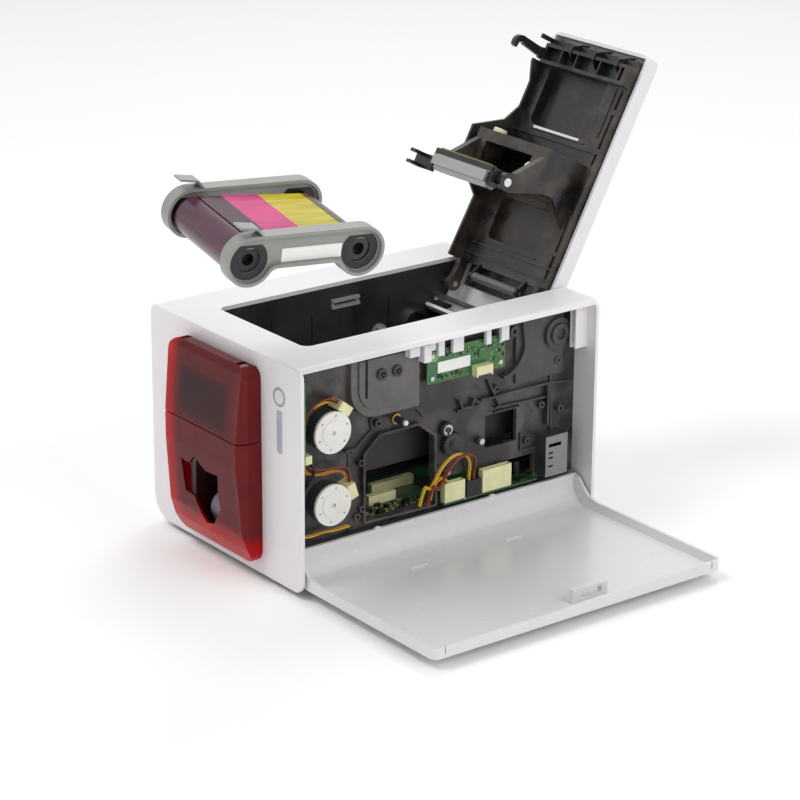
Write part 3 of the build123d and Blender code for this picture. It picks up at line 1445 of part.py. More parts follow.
heat_sink.part.label = "heat_sink"
export_step(heat_sink.part, "parts/heat_sink.step")

# Circuit strip on the upper side of the carriage.
with BuildPart() as head_strip:
    lid_box((-34.0, 30.0), (101.0, 102.2), (98.5, 108.0))
    lid_box((-20.0, 6.0), (102.1, 102.6), (99.5, 102.5))

head_strip.part.label = "head_strip"
export_step(head_strip.part, "parts/head_strip.step")

# White pins that the carriage turns on, fixed in the arms, and the white cam in the block.
cam_s = 111.0
cam_depth = 59.0
cam_radius = 9.0
cam_thickness = 3.0
with BuildPart() as carriage_pins:
    for side in (-1, 1):
        inner, outer = sorted((side * (carriage_boss_x[0] - 0.5), side * (arm_x[1] + 1.2)))
        lid_rod((inner, outer), carriage_s, carriage_depth, carriage_pin_radius)
        if side > 0:
            lid_rod((arm_x[1], arm_x[1] + 1.2), carriage_s, carriage_depth, 3.6)
    with BuildSketch(lid_section(block_x[1] - 16 - cam_thickness)) as cam:
        with Locations((cam_s, cam_depth)):
            Circle(cam_radius)
        with Locations((cam_s, cam_depth - cam_radius / 2)):
            Rectangle(2 * cam_radius + 2, cam_radius, mode=Mode.SUBTRACT)
    extrude(cam.sketch, amount=cam_thickness)

carriage_pins.part.label = "carriage_pins"
export_step(carriage_pins.part, "parts/carriage_pins.step")

knob_x = -30.0
knob_depth = 57.0
with BuildPart() as ivory_knob:
    with BuildSketch(lid_cross(block_s[1])) as knob:
        with Locations((-knob_x, knob_depth)):
            Circle(6.0)
    extrude(knob.sketch, amount=4.0)
    fillet(ivory_knob.edges().sort_by(Axis.Z)[-1], 1.0)

ivory_knob.part.label = "ivory_knob"
export_step(ivory_knob.part, "parts/ivory_knob.step")

with BuildPart() as idler_roller:
    lid_rod((-roller_half_length, roller_half_length), idler_s, idler_depth, idler_radius)
    lid_rod((-roller_half_length - 4, roller_half_length + 4), idler_s, idler_depth, idler_pin_radius)

idler_roller.part.label = "idler_roller"
export_step(idler_roller.part, "parts/idler_roller.step")

# Hook that holds the closed lid down, on a pin at the far front corner of the frame.
with BuildPart() as latch_hook:
    with BuildSketch(lid_section(hook_x[0])) as hook:
        with BuildLine():
            Line((latch_s + 4, latch_depth + 3), (latch_s + 6, 52.0))
            ThreePointArc((latch_s + 6, 52.0), (latch_s + 2.5, 59.5), (latch_s - 5, 60.0))
            Line((latch_s - 5, 60.0), (latch_s - 6, 56.5))
            Line((latch_s - 6, 56.5), (latch_s - 1.2, 55.5))
            ThreePointArc((latch_s - 1.2, 55.5), (latch_s + 0.6, 52.4), (latch_s - 1.2, 49.0))
            Line((latch_s - 1.2, 49.0), (latch_s - 4, latch_depth + 3))
            Line((latch_s - 4, latch_depth + 3), (latch_s + 4, latch_depth + 3))
        make_face()
    extrude(hook.sketch, amount=hook_x[1] - hook_x[0])
    lid_rod(hook_x, latch_s, latch_depth, 5.5)
    lid_rod((hook_x[0] - 1, hook_x[1] + 1), latch_s, latch_depth, latch_pin_radius + pin_clearance, Mode.SUBTRACT)

latch_hook.part.label = "latch_hook"
export_step(latch_hook.part, "parts/latch_hook.step")

# ---------------------------------------------------------------- side door, laid open
door_edge_x = door_axis_x + door_reach
door_under_z = door_axis_z - door_axis_inset
door_skirt_x = door_axis_x - door_axis_rise
door_skirt_top = door_axis_z + door_flange
latch_x = (250.0, 262.0)
latch_y = (0.0, 36.0)
latch_height = 15.0
door_slit_places = (-138.0, 138.0)
door_rib_x = (128.0, 129.5)
door_rib_places = (-60.0, 40.0)


with BuildPart() as side_door:
    # Skin: flat panel, cove and skirt in one section.
    with BuildSketch(Plane.XZ.offset(-door_rear_y)) as door_section:
        with BuildLine():
            Line((door_edge_x, door_under_z), (door_skirt_x + door_cove_radius, door_under_z))
            RadiusArc(
                (door_skirt_x + door_cove_radius, door_under_z),
                (door_skirt_x, door_under_z + door_cove_radius),
                door_cove_radius,
            )
            Line((door_skirt_x, door_under_z + door_cove_radius), (door_skirt_x, door_skirt_top))
            Line((door_skirt_x, door_skirt_top), (door_skirt_x + door_skin, door_skirt_top))
            Line(
                (door_skirt_x + door_skin, door_skirt_top),
                (door_skirt_x + door_skin, door_under_z + door_cove_radius),
            )
            RadiusArc(
                (door_skirt_x + door_skin, door_under_z + door_cove_radius),
                (door_skirt_x + door_cove_radius, door_under_z + door_skin),
                -(door_cove_radius - door_skin),
            )
            Line((door_skirt_x + door_cove_radius, door_under_z + door_skin), (door_edge_x, door_under_z + door_skin))
            Line((door_edge_x, door_under_z + door_skin), (door_edge_x, door_under_z))
        make_face()
    extrude(door_section.sketch, amount=door_rear_y - door_front_y)
    # Raised rim: outer edge and both ends, with a sloping inner side.
    rim_section = (
        (0, 0),
        (door_rim_foot, door_skin),
        (door_rim_top, door_rim),
        (0, door_rim),
    )
    with BuildSketch(Plane.XZ.offset(-door_rear_y)) as outer_rim:
        Polygon(*[(door_edge_x - u, door_under_z + v) for u, v in rim_section])
    extrude(outer_rim.sketch, amount=door_rear_y - door_front_y)
    rim_start = door_skirt_x + door_cove_radius - 4
    rim_plane = Plane(origin=(rim_start, 0, 0), x_dir=(0, 1, 0), z_dir=(1, 0, 0))
    with BuildSketch(rim_plane) as end_rims:
        Polygon(*[(door_front_y + u, door_under_z + v) for u, v in rim_section])
        Polygon(*[(door_rear_y - u, door_under_z + v) for u, v in rim_section])
    extrude(end_rims.sketch, amount=door_edge_x - rim_start)
    # Ears at both ends that close the cove and turn on the casing's pins.
    for low_y in (door_front_y, door_rear_y - door_ear_wall):
        with BuildSketch(Plane.XZ.offset(-low_y - door_ear_wall)) as ear:
            Polygon(
                (door_skirt_x + 0.5, door_skirt_top - 4),
                (door_skirt_x + 0.5, door_under_z + door_cove_radius - 4),
                (door_skirt_x + 6, door_under_z + 4),
                (door_skirt_x + 16, door_under_z + 1),
                (door_skirt_x + 34, door_under_z + 1),
                (door_skirt_x + 34, door_under_z + door_rim),
                (door_skirt_x + 22, door_under_z + door_rim + 2),
                (door_skirt_x + 14, door_under_z + 19),
                (door_skirt_x + 8, door_skirt_top - 2),
                (door_skirt_x + 4, door_skirt_top - 1),
            )
            with Locations((door_axis_x, door_axis_z)):
                Circle(door_pin_radius + pin_clearance, mode=Mode.SUBTRACT)
        extrude(ear.sketch, amount=door_ear_wall)
    # Half-round tabs on the skirt's edge.
    for tab_y in door_tab_places:
        with BuildSketch(Plane.YZ.offset(door_skirt_x)) as tab:
            with Locations((tab_y, door_skirt_top + door_tab_rise - door_tab_radius)):
                Circle(door_tab_radius)
        extrude(tab.sketch, amount=1.6)
    # Rounded outer corners.
    for corner_y, side in ((door_front_y, 1), (door_rear_y, -1)):
        with BuildSketch(Plane.XY.offset(door_under_z - 1)) as corner:
            with Locations((door_edge_x - 3, corner_y + side * 3)):
                Rectangle(6.2, 6.2)
            with Locations((door_edge_x - 6, corner_y + side * 6)):
                Circle(6.0, mode=Mode.SUBTRACT)
        extrude(corner.sketch, amount=door_rim + 2, mode=Mode.SUBTRACT)
    # Slits in the outer rim.
    for slit_y in door_slit_places:
        box(
            (door_edge_x - 3.5, door_edge_x + 1),
            (slit_y - 0.6, slit_y + 0.6),
            (door_under_z + 3.5, door_under_z + door_rim + 1),
            Mode.SUBTRACT,
        )
    # Latch loop near the outer edge, and low ribs on the inner face.
    box(latch_x, latch_y, (door_under_z + door_skin - 0.5, door_under_z + door_skin + 3))
    box((latch_x[0] + 7, latch_x[1]), latch_y, (door_under_z + door_skin, door_under_z + latch_height))
    box(
        (latch_x[0] + 6, latch_x[1] + 1),
        (latch_y[0] + 8, latch_y[1] - 6),
        (door_under_z + door_skin + 4.5, door_under_z + latch_height - 2.5),
        Mode.SUBTRACT,
    )
    for rib_y in door_rib_places:
        box(door_rib_x, (rib_y, rib_y + 18), (door_under_z + door_skin - 0.5, door_under_z + door_skin + 1.5))

side_door.part.label = "side_door"
export_step(side_door.part, "parts/side_door.step")

# ---------------------------------------------------------------- ribbon cassette
cassette_plane = Plane(Location(cassette_centre, cassette_tilt))
cassette_half = cassette_width / 2
cassette_inner = cassette_half - cassette_frame
cassette_low = -7.0
cassette_joint_radius = 9.0
web_outer = cassette_half - (cassette_frame - cassette_web) / 2
web_inner = web_outer - cassette_web
hub_lip = 1.4
hub_disc = 2.2
hub_outer = web_outer - hub_lip - hub_gap
spool_places = (-cassette_spacing / 2, cassette_spacing / 2)
cassette_bar_places = (-20.0, 20.0)
cassette_bar_radius = 2.5
cassette_bar_z = -1.5
socket_radius = 5.0
socket_depth = 7.0


def cassette_section(x):
    """Plane square to the rolls: local x runs from the front roll to the rear one, local y up."""
    origin = cassette_plane.from_local_coords(Vector(x, 0, 0))
    return Plane(origin=origin, x_dir=cassette_plane.y_dir, z_dir=cassette_plane.x_dir)


def cassette_outline(x, inset):
    """Outline of an end frame, drawn in by an inset."""
    with BuildSketch(cassette_section(x)) as outline:
        with Locations(*[(place, 0) for place in spool_places]):
            Circle(cassette_radius - inset)
        with Locations((0, (cassette_radius + cassette_low) / 2)):
            Rectangle(cassette_spacing, cassette_radius - cassette_low - 2 * inset)
        low = outline.vertices().filter_by(lambda v: abs(v.Y - cassette_low - inset) < 0.01)
        fillet(low, cassette_joint_radius)
    return outline.sketch


def cassette_disc(x_range, y, z, radius, mode=Mode.ADD):
    """Round bar along the rolls, between two limits."""
    with BuildSketch(cassette_section(x_range[0])) as section:
        with Locations((y, z)):
            Circle(radius)
    extrude(section.sketch, amount=x_range[1] - x_range[0], mode=mode)


def cassette_end(side):
    """End frame: rim and web, two hub bearings, and the finger tab."""
    rim_x = min(side * cassette_inner, side * cassette_half)
    web_x = min(side * web_inner, side * web_outer)
    lip_x = min(side * (web_outer - hub_lip), side * web_outer)
    extrude(cassette_outline(rim_x, 0), amount=cassette_frame)
    extrude(cassette_outline(rim_x, cassette_rim), amount=cassette_frame, mode=Mode.SUBTRACT)
    extrude(cassette_outline(web_x, cassette_rim - 0.1), amount=cassette_web)
    for place in spool_places:
        cassette_disc((web_x - 1, web_x + cassette_web + 1), place, 0, cassette_hub_radius, Mode.SUBTRACT)
        with BuildSketch(cassette_section(lip_x)) as lip:
            with Locations((place, 0)):
                Circle(cassette_hub_radius + 0.1)
                Circle(cassette_hub_radius - 2.0, mode=Mode.SUBTRACT)
            with Locations((place, cassette_hub_radius)):
                Rectangle(2 * cassette_hub_radius, 6.0)
            with Locations((place, 0)):
                Circle(cassette_hub_radius + 0.1, mode=Mode.INTERSECT)
        extrude(lip.sketch, amount=hub_lip)
    tab_x = side * (cassette_half - 3) - 6 + (3 if side < 0 else -3)
    with BuildSketch(cassette_section(tab_x)) as tab:
        Polygon((-37.0, 19.0), (-44.0, 27.0), (-60.0, 29.0), (-60.0, 27.4), (-44.8, 25.4), (-39.0, 18.6))
    extrude(tab.sketch, amount=12.0)


with BuildPart() as cassette_near_frame:
    cassette_end(1)

cassette_near_frame.part.label = "cassette_near_frame"
export_step(cassette_near_frame.part, "parts/cassette_near_frame.step")

with BuildPart() as cassette_far_frame:
    cassette_end(-1)

cassette_far_frame.part.label = "cassette_far_frame"
export_step(cassette_far_frame.part, "parts/cassette_far_frame.step")

with BuildPart() as cassette_bars:
    for bar_y in cassette_bar_places:
        cassette_disc((-web_inner, web_inner), bar_y, cassette_bar_z, cassette_bar_radius)

cassette_bars.part.label = "cassette_bars"
export_step(cassette_bars.part, "parts/cassette_bars.step")


def spool_core(y):
    """Core of a roll with its two hub discs and drive sockets."""
    cassette_disc((-hub_outer, hub_outer), y, 0, core_radius)
    for side in (-1, 1):
        inner, outer = sorted((side * (hub_outer - hub_disc), side * hub_outer))
        cassette_disc((inner, outer), y, 0, cassette_hub_radius - hub_gap)
        inner, outer = sorted((side * (hub_outer - socket_depth), side * (hub_outer + 1)))
        cassette_disc((inner, outer), y, 0, socket_radius, Mode.SUBTRACT)


with BuildPart() as supply_core:
    spool_core(spool_places[0])

supply_core.part.label = "supply_core"
export_step(supply_core.part, "parts/supply_core.step")

with BuildPart() as supply_roll:
    cassette_disc((-roll_half_length, roll_half_length), spool_places[0], 0, supply_radius)
    cassette_disc((-roll_half_length - 1, roll_half_length + 1), spool_places[0], 0, core_radius, Mode.SUBTRACT)

supply_roll.part.label = "supply_roll"
export_step(supply_roll.part, "parts/supply_roll.step")

with BuildPart() as take_up_spool:
    spool_core(spool_places[1])
    cassette_disc((-roll_half_length, roll_half_length), spool_places[1], 0, take_up_radius)

take_up_spool.part.label = "take_up_spool"
export_step(take_up_spool.part, "parts/take_up_spool.step")

film_lift = 0.4
with BuildPart() as ribbon_film:
    with BuildSketch(cassette_section(-film_half_width)) as film:
        Polygon(
            (spool_places[0], supply_radius + film_lift),
            (spool_places[1], take_up_radius + film_lift),
            (spool_places[1], take_up_radius + film_lift + film_thickness),
            (spool_places[0], supply_radius + film_lift + film_thickness),
        )
    extrude(film.sketch, amount=2 * film_half_width)

ribbon_film.part.label = "ribbon_film"
export_step(ribbon_film.part, "parts/ribbon_film.step")

# ---------------------------------------------------------------- wires
wire_radius = 0.8
cream_low = board_row[0][1]
black_row = board_row[1][1]
cream_top = main_board_top + board_row[0][2]
black_top = main_board_top + board_row[1][2]


def wire(points):
    """Round wire along a smooth curve through its points."""
    with BuildLine() as path:
        Spline(*points, tangents=((0, 0, 1), (0, -0.3, -1)))
    line = path.line
    with BuildSketch(Plane(origin=line @ 0, z_dir=line % 0)) as section:
        Circle(wire_radius)
    sweep(section.sketch, path=line)


connector_middle_x = (connector_x[0] + connector_x[1]) / 2
strand_step = 1.9
small_loop = ((0, 0.0, -5.0), (0, 0.0, 0.5), (1.5, -5.0, 5.5), (3.0, -13.0, 4.5), (3.2, -18.5, -3.0), (3.2, -20.0, -9.5))
large_loop = ((0, 0), (0.5, 7), (-3, 20), (-16, 29), (-34, 21), (-48, 5), (-56, -9))

with BuildPart() as yellow_wires:
    for strand in range(2):
        start_x = connector_middle_x + (strand - 0.5) * strand_step
        wire([(start_x + x, cream_low[0] + 4 + y, cream_top + z) for x, y, z in small_loop])
        loop_x = 92.2 + strand * strand_step
        lanes = (start_x, start_x, (start_x + loop_x) / 2, loop_x, loop_x, loop_x, loop_x - 2)
        wire([(x, black_row[0] + 4 + y, black_top + z) for x, (y, z) in zip(lanes, large_loop)])

yellow_wires.part.label = "yellow_wires"
export_step(yellow_wires.part, "parts/yellow_wires.step")

with BuildPart() as brown_wires:
    for strand in range(2):
        start_x = connector_middle_x + (strand - 0.5) * strand_step
        loop_x = 96.6 + strand * strand_step
        lanes = (start_x, start_x, (start_x + loop_x) / 2, loop_x, loop_x, loop_x, loop_x - 2)
        wire([(x, black_row[0] + 9 + y, black_top + z) for x, (y, z) in zip(lanes, large_loop)])

brown_wires.part.label = "brown_wires"
export_step(brown_wires.part, "parts/brown_wires.step")
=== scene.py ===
import math
import random

import bmesh
import bpy
from mathutils import Matrix, Vector


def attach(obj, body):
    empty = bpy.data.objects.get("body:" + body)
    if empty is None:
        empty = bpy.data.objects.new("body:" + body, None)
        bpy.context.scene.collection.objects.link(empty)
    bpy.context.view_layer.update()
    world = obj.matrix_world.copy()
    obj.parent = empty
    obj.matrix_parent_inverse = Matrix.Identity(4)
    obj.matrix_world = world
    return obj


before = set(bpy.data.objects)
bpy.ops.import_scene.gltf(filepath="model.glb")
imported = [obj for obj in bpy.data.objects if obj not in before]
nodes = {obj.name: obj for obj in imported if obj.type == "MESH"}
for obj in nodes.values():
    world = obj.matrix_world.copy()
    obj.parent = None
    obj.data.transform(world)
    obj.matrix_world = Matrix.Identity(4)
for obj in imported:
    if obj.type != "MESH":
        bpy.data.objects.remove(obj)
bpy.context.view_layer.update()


def rgb(red, green, blue):
    """Colour from screen values between 0 and 1, as the shader's linear values."""
    def linear(value):
        return value / 12.92 if value <= 0.04045 else ((value + 0.055) / 1.055) ** 2.4
    return (linear(red), linear(green), linear(blue), 1.0)


class Look:
    """A node material under construction."""

    def __init__(self, name):
        self.material = bpy.data.materials.new(name)
        self.material.use_nodes = True
        self.tree = self.material.node_tree
        self.shader = self.tree.nodes["Principled BSDF"]
        self.place = self.add("ShaderNodeTexCoord").outputs["Object"]

    def add(self, kind, **values):
        node = self.tree.nodes.new(kind)
        for key, value in values.items():
            setattr(node, key, value)
        return node

    def link(self, source, target):
        self.tree.links.new(source, target)

    def noise(self, scale, detail=3.0, roughness=0.55, distortion=0.0, stretch=None):
        node = self.add("ShaderNodeTexNoise")
        node.inputs["Scale"].default_value = scale
        node.inputs["Detail"].default_value = detail
        node.inputs["Roughness"].default_value = roughness
        node.inputs["Distortion"].default_value = distortion
        self.link(self.stretched(stretch), node.inputs["Vector"])
        return node.outputs["Fac"]

    def stretched(self, stretch):
        if stretch is None:
            return self.place
        mapping = self.add("ShaderNodeMapping")
        mapping.inputs["Scale"].default_value = stretch
        self.link(self.place, mapping.inputs["Vector"])
        return mapping.outputs["Vector"]

    def voronoi(self, scale, feature="F1", stretch=None):
        node = self.add("ShaderNodeTexVoronoi", feature=feature)
        node.inputs["Scale"].default_value = scale
        self.link(self.stretched(stretch), node.inputs["Vector"])
        return node

    def ramp(self, factor, stops, interpolation="LINEAR"):
        node = self.add("ShaderNodeValToRGB")
        node.color_ramp.interpolation = interpolation
        elements = node.color_ramp.elements
        while len(elements) < len(stops):
            elements.new(0.5)
        for element, (position, colour) in zip(elements, stops):
            element.position = position
            element.color = colour
        self.link(factor, node.inputs["Fac"])
        return node.outputs["Color"]

    def grey_ramp(self, factor, low, high, first=0.0, last=1.0):
        return self.ramp(factor, ((low, (first,) * 3 + (1,)), (high, (last,) * 3 + (1,))))

    def mix(self, factor, first, second, blend="MIX"):
        node = self.add("ShaderNodeMix", data_type="RGBA", blend_type=blend)
        self.give(factor, node.inputs[0])
        self.give(first, node.inputs[6])
        self.give(second, node.inputs[7])
        return node.outputs[2]

    def give(self, value, socket):
        if isinstance(value, bpy.types.NodeSocket):
            self.link(value, socket)
        else:
            socket.default_value = value

    def sum(self, operation, first, second, clamp=False):
        node = self.add("ShaderNodeMath", operation=operation, use_clamp=clamp)
        self.give(first, node.inputs[0])
        self.give(second, node.inputs[1])
        return node.outputs[0]

    def along(self, direction, origin=(0, 0, 0)):
        """Distance along a direction from an origin, in metres."""
        shift = self.add("ShaderNodeVectorMath", operation="SUBTRACT")
        self.link(self.place, shift.inputs[0])
        shift.inputs[1].default_value = origin
        node = self.add("ShaderNodeVectorMath", operation="DOT_PRODUCT")
        self.link(shift.outputs[0], node.inputs[0])
        node.inputs[1].default_value = direction
        return node.outputs["Value"]

    def bump(self, height, strength, distance=0.0004):
        node = self.add("ShaderNodeBump")
        node.inputs["Strength"].default_value = strength
        node.inputs["Distance"].default_value = distance
        self.link(height, node.inputs["Height"])
        previous = self.shader.inputs["Normal"]
        if previous.is_linked:
            self.link(previous.links[0].from_socket, node.inputs["Normal"])
        self.link(node.outputs["Normal"], previous)

    def colour(self, value):
        self.give(value, self.shader.inputs["Base Color"])

    def roughness(self, value):
        self.give(value, self.shader.inputs["Roughness"])

    def set(self, **values):
        for key, value in values.items():
            self.shader.inputs[key.replace("_", " ")].default_value = value


def moulded(name, colour, rough=0.45, mottle=0.05, mottle_scale=22.0, grain=0.06, grain_scale=1500.0, coat=0.0):
    """Moulded plastic: slight cloudy tone, fine grain, uneven gloss."""
    look = Look(name)
    red, green, blue, _ = colour
    darker = tuple(max(0.0, part * (1 - mottle)) for part in (red, green, blue)) + (1.0,)
    lighter = tuple(min(1.0, part * (1 + mottle)) for part in (red, green, blue)) + (1.0,)
    cloud = look.noise(mottle_scale, detail=4.0)
    look.colour(look.ramp(cloud, ((0.35, darker), (0.65, lighter))))
    look.roughness(look.grey_ramp(look.noise(mottle_scale * 3), 0.3, 0.7, rough - 0.05, rough + 0.06))
    if grain:
        look.bump(look.noise(grain_scale, detail=2.0), grain)
    if coat:
        look.set(Coat_Weight=coat, Coat_Roughness=0.12)
    return look


def scuffed(name, colour, worn, rough=0.42, amount=0.5, scale=38.0, coat=0.0):
    """Dark plastic with a lighter, brownish bloom in patches."""
    look = Look(name)
    patches = look.noise(scale, detail=6.0, roughness=0.65, distortion=0.6)
    large = look.noise(scale / 4, detail=3.0)
    both = look.sum("MULTIPLY", patches, large)
    mask = look.grey_ramp(both, 0.18, 0.48, 0.0, amount)
    look.colour(look.mix(mask, colour, worn))
    look.roughness(look.grey_ramp(patches, 0.3, 0.7, rough - 0.1, rough + 0.12))
    look.bump(look.noise(900.0, detail=3.0), 0.12)
    look.bump(patches, 0.05, 0.001)
    if coat:
        look.set(Coat_Weight=coat, Coat_Roughness=0.2)
    return look


def metal(name, colour, rough=0.25, stretch=(1.0, 40.0, 40.0), grain=0.1):
    """Machined metal with a drawn grain."""
    look = Look(name)
    lines = look.noise(60.0, detail=4.0, stretch=stretch)
    red, green, blue, _ = colour
    dark = (red * 0.8, green * 0.8, blue * 0.8, 1)
    look.colour(look.ramp(lines, ((0.3, dark), (0.7, colour))))
    look.roughness(look.grey_ramp(lines, 0.3, 0.7, rough - 0.08, rough + 0.1))
    look.bump(lines, grain, 0.0002)
    look.set(Metallic=1.0)
    return look


def circuit(name, green, flat):
    """Solder-masked board with tracks, pads and a few printed blocks; flat is the axis across the board."""
    look = Look(name)
    scale = [1.0, 1.0, 1.0]
    scale[flat] = 0.0
    tracks = look.add("ShaderNodeTexBrick")
    tracks.inputs["Scale"].default_value = 90.0
    tracks.inputs["Mortar Size"].default_value = 0.03
    tracks.inputs["Brick Width"].default_value = 0.9
    tracks.inputs["Row Height"].default_value = 0.16
    order = {0: (1, 2, 0), 1: (0, 2, 1), 2: (0, 1, 2)}[flat]
    apart = look.add("ShaderNodeSeparateXYZ")
    look.link(look.place, apart.inputs[0])
    together = look.add("ShaderNodeCombineXYZ")
    for target, source in enumerate(order):
        if source != flat:
            look.link(apart.outputs[source], together.inputs[target])
    look.link(together.outputs[0], tracks.inputs["Vector"])
    red, g, blue, _ = green
    bright = (red * 1.9, min(1, g * 1.6), blue * 1.7, 1)
    patch = look.grey_ramp(look.noise(70.0, stretch=tuple(scale)), 0.45, 0.55)
    traces = look.mix(look.sum("MULTIPLY", patch, tracks.outputs["Fac"]), green, bright)
    cells = look.voronoi(420.0, stretch=tuple(scale))
    spots = look.sum("LESS_THAN", cells.outputs["Distance"], 0.16)
    crowd = look.grey_ramp(look.noise(60.0, detail=2.0, stretch=tuple(scale)), 0.5, 0.56)
    pads = look.sum("MULTIPLY", spots, crowd)
    look.colour(look.mix(pads, traces, rgb(0.78, 0.76, 0.62)))
    look.roughness(0.32)
    look.bump(look.sum("ADD", pads, tracks.outputs["Fac"]), 0.15, 0.0002)
    look.set(Coat_Weight=0.4, Coat_Roughness=0.15)
    return look


def dress(look, *names):
    """Gives a look to CAD nodes."""
    for name in names:
        obj = nodes[name]
        obj.data.materials.clear()
        obj.data.materials.append(look.material)


# ---------------------------------------------------------------- looks
WHITE = rgb(0.90, 0.89, 0.90)
casing_look = moulded("casing_white", WHITE, rough=0.38, mottle=0.012, grain=0.0)
# Painted shade: the door's white is the casing's white plastic made a little darker, the shade of the body's side
# face.
door_shaded_look = moulded("door_white_painted_shade", rgb(0.86, 0.855, 0.86), rough=0.24, mottle=0.01, mottle_scale=9.0, grain=0.0, coat=0.2)
tray_look = moulded("tray_grey", rgb(0.28, 0.27, 0.28), rough=0.5, mottle=0.1)
foot_look = moulded("foot_rubber", rgb(0.12, 0.12, 0.12), rough=0.7, grain=0.2)
liner_look = scuffed("liner_black", rgb(0.13, 0.11, 0.12), rgb(0.27, 0.24, 0.25), rough=0.5, amount=0.5, scale=24.0)
chassis_look = scuffed("chassis_grey", rgb(0.15, 0.14, 0.145), rgb(0.43, 0.41, 0.40), rough=0.36, amount=0.85, scale=52.0)
lid_look = scuffed("lid_black", rgb(0.10, 0.09, 0.095), rgb(0.40, 0.36, 0.32), rough=0.30, amount=0.8, scale=44.0)
carriage_look = scuffed("carriage_black", rgb(0.08, 0.075, 0.08), rgb(0.30, 0.28, 0.27), rough=0.30, amount=0.5)
hook_look = scuffed("hook_black", rgb(0.09, 0.08, 0.09), rgb(0.3, 0.28, 0.28), rough=0.4)
steel_look = metal("steel", rgb(0.80, 0.80, 0.80), rough=0.25)
bar_look = metal("bar_steel", rgb(0.82, 0.82, 0.83), rough=0.32)
sink_look = metal("sink_silver", rgb(0.66, 0.67, 0.66), rough=0.35, stretch=(1.0, 60.0, 60.0), grain=0.3)
can_look = moulded("motor_can", rgb(0.20, 0.20, 0.21), rough=0.35)
disc_look = moulded("motor_white", rgb(0.90, 0.895, 0.87), rough=0.4, mottle=0.04, mottle_scale=60.0)
cream_look = moulded("connector_cream", rgb(0.88, 0.87, 0.68), rough=0.45, mottle=0.06, mottle_scale=120.0)
chip_look = moulded("chip_black", rgb(0.12, 0.12, 0.12), rough=0.4, grain=0.2)
duct_look = scuffed("cover_grey", rgb(0.33, 0.315, 0.32), rgb(0.50, 0.48, 0.48), rough=0.36, amount=0.6, scale=26.0)
housing_look = scuffed("housing_grey", rgb(0.21, 0.20, 0.205), rgb(0.40, 0.38, 0.38), rough=0.4)
port_look = metal("port_metal", rgb(0.55, 0.55, 0.56), rough=0.4, stretch=(40.0, 40.0, 1.0))
fitting_look = moulded("fitting_grey", rgb(0.62, 0.61, 0.62), rough=0.4)
hopper_look = scuffed("hopper_dark", rgb(0.20, 0.13, 0.14), rgb(0.33, 0.24, 0.25), rough=0.45)
guide_look = moulded("guide_grey", rgb(0.55, 0.54, 0.57), rough=0.35)
button_look = moulded("button_white", rgb(0.86, 0.86, 0.87), rough=0.35)
ring_look = moulded("ring_grey", rgb(0.62, 0.62, 0.65), rough=0.25, coat=0.3)
light_look = moulded("light_grey", rgb(0.66, 0.66, 0.70), rough=0.2, mottle=0.1, mottle_scale=40.0, coat=0.4)
strip_look = circuit("strip_green", rgb(0.42, 0.47, 0.20), 2)
pin_look = moulded("pin_white", rgb(0.88, 0.88, 0.86), rough=0.4)
knob_look = moulded("knob_ivory", rgb(0.86, 0.84, 0.70), rough=0.4)
rubber_look = moulded("roller_rubber", rgb(0.16, 0.16, 0.16), rough=0.6, grain=0.3)
roller_look = moulded("roller_grey", rgb(0.42, 0.42, 0.43), rough=0.35, mottle=0.1)
gear_look = scuffed("gear_dark", rgb(0.17, 0.165, 0.17), rgb(0.34, 0.33, 0.33), rough=0.4)
cassette_look = moulded("cassette_grey", rgb(0.56, 0.56, 0.545), rough=0.34, mottle=0.05, mottle_scale=40.0, grain=0.05, coat=0.1)
core_look = moulded("core_black", rgb(0.10, 0.10, 0.10), rough=0.45)
sensor_look = circuit("board_green", rgb(0.13, 0.38, 0.17), 0)
main_look = circuit("board_green_flat", rgb(0.12, 0.30, 0.15), 2)
front_look = circuit("board_green_front", rgb(0.20, 0.48, 0.22), 1)
yellow_look = moulded("wire_yellow", rgb(0.88, 0.70, 0.12), rough=0.35)
brown_look = moulded("wire_brown", rgb(0.50, 0.20, 0.07), rough=0.35)

# Tinted red covers: bright red along the far edge and the foot; deep maroon painted shade where the dark card bays lie
# behind, darker painted shade in the deepest recess, and a painted lighter bevel along the near side of the bays.
red_look = Look("cover_red")
across = red_look.along((1, 0, 0))
height = red_look.along((0, 0, 1))
# Painted shade: mask of the cover in front of the dark card bays, coloured deep maroon.
painted_bay_shade = red_look.sum(
    "MULTIPLY",
    red_look.grey_ramp(red_look.sum("ADD", across, 0.5), 0.450, 0.462),
    red_look.grey_ramp(height, 0.030, 0.046),
)
# Painted shade: mask of the deepest recess in front of the bays, coloured darkest maroon.
painted_pocket_shade = red_look.sum(
    "MULTIPLY",
    red_look.sum(
        "MULTIPLY",
        red_look.grey_ramp(red_look.sum("ADD", across, 0.5), 0.462, 0.470),
        red_look.grey_ramp(red_look.sum("SUBTRACT", 0.5, across), 0.462, 0.470),
    ),
    red_look.sum("MULTIPLY", red_look.grey_ramp(height, 0.121, 0.130), red_look.grey_ramp(red_look.sum("SUBTRACT", 0.5, height), 0.331, 0.338)),
)
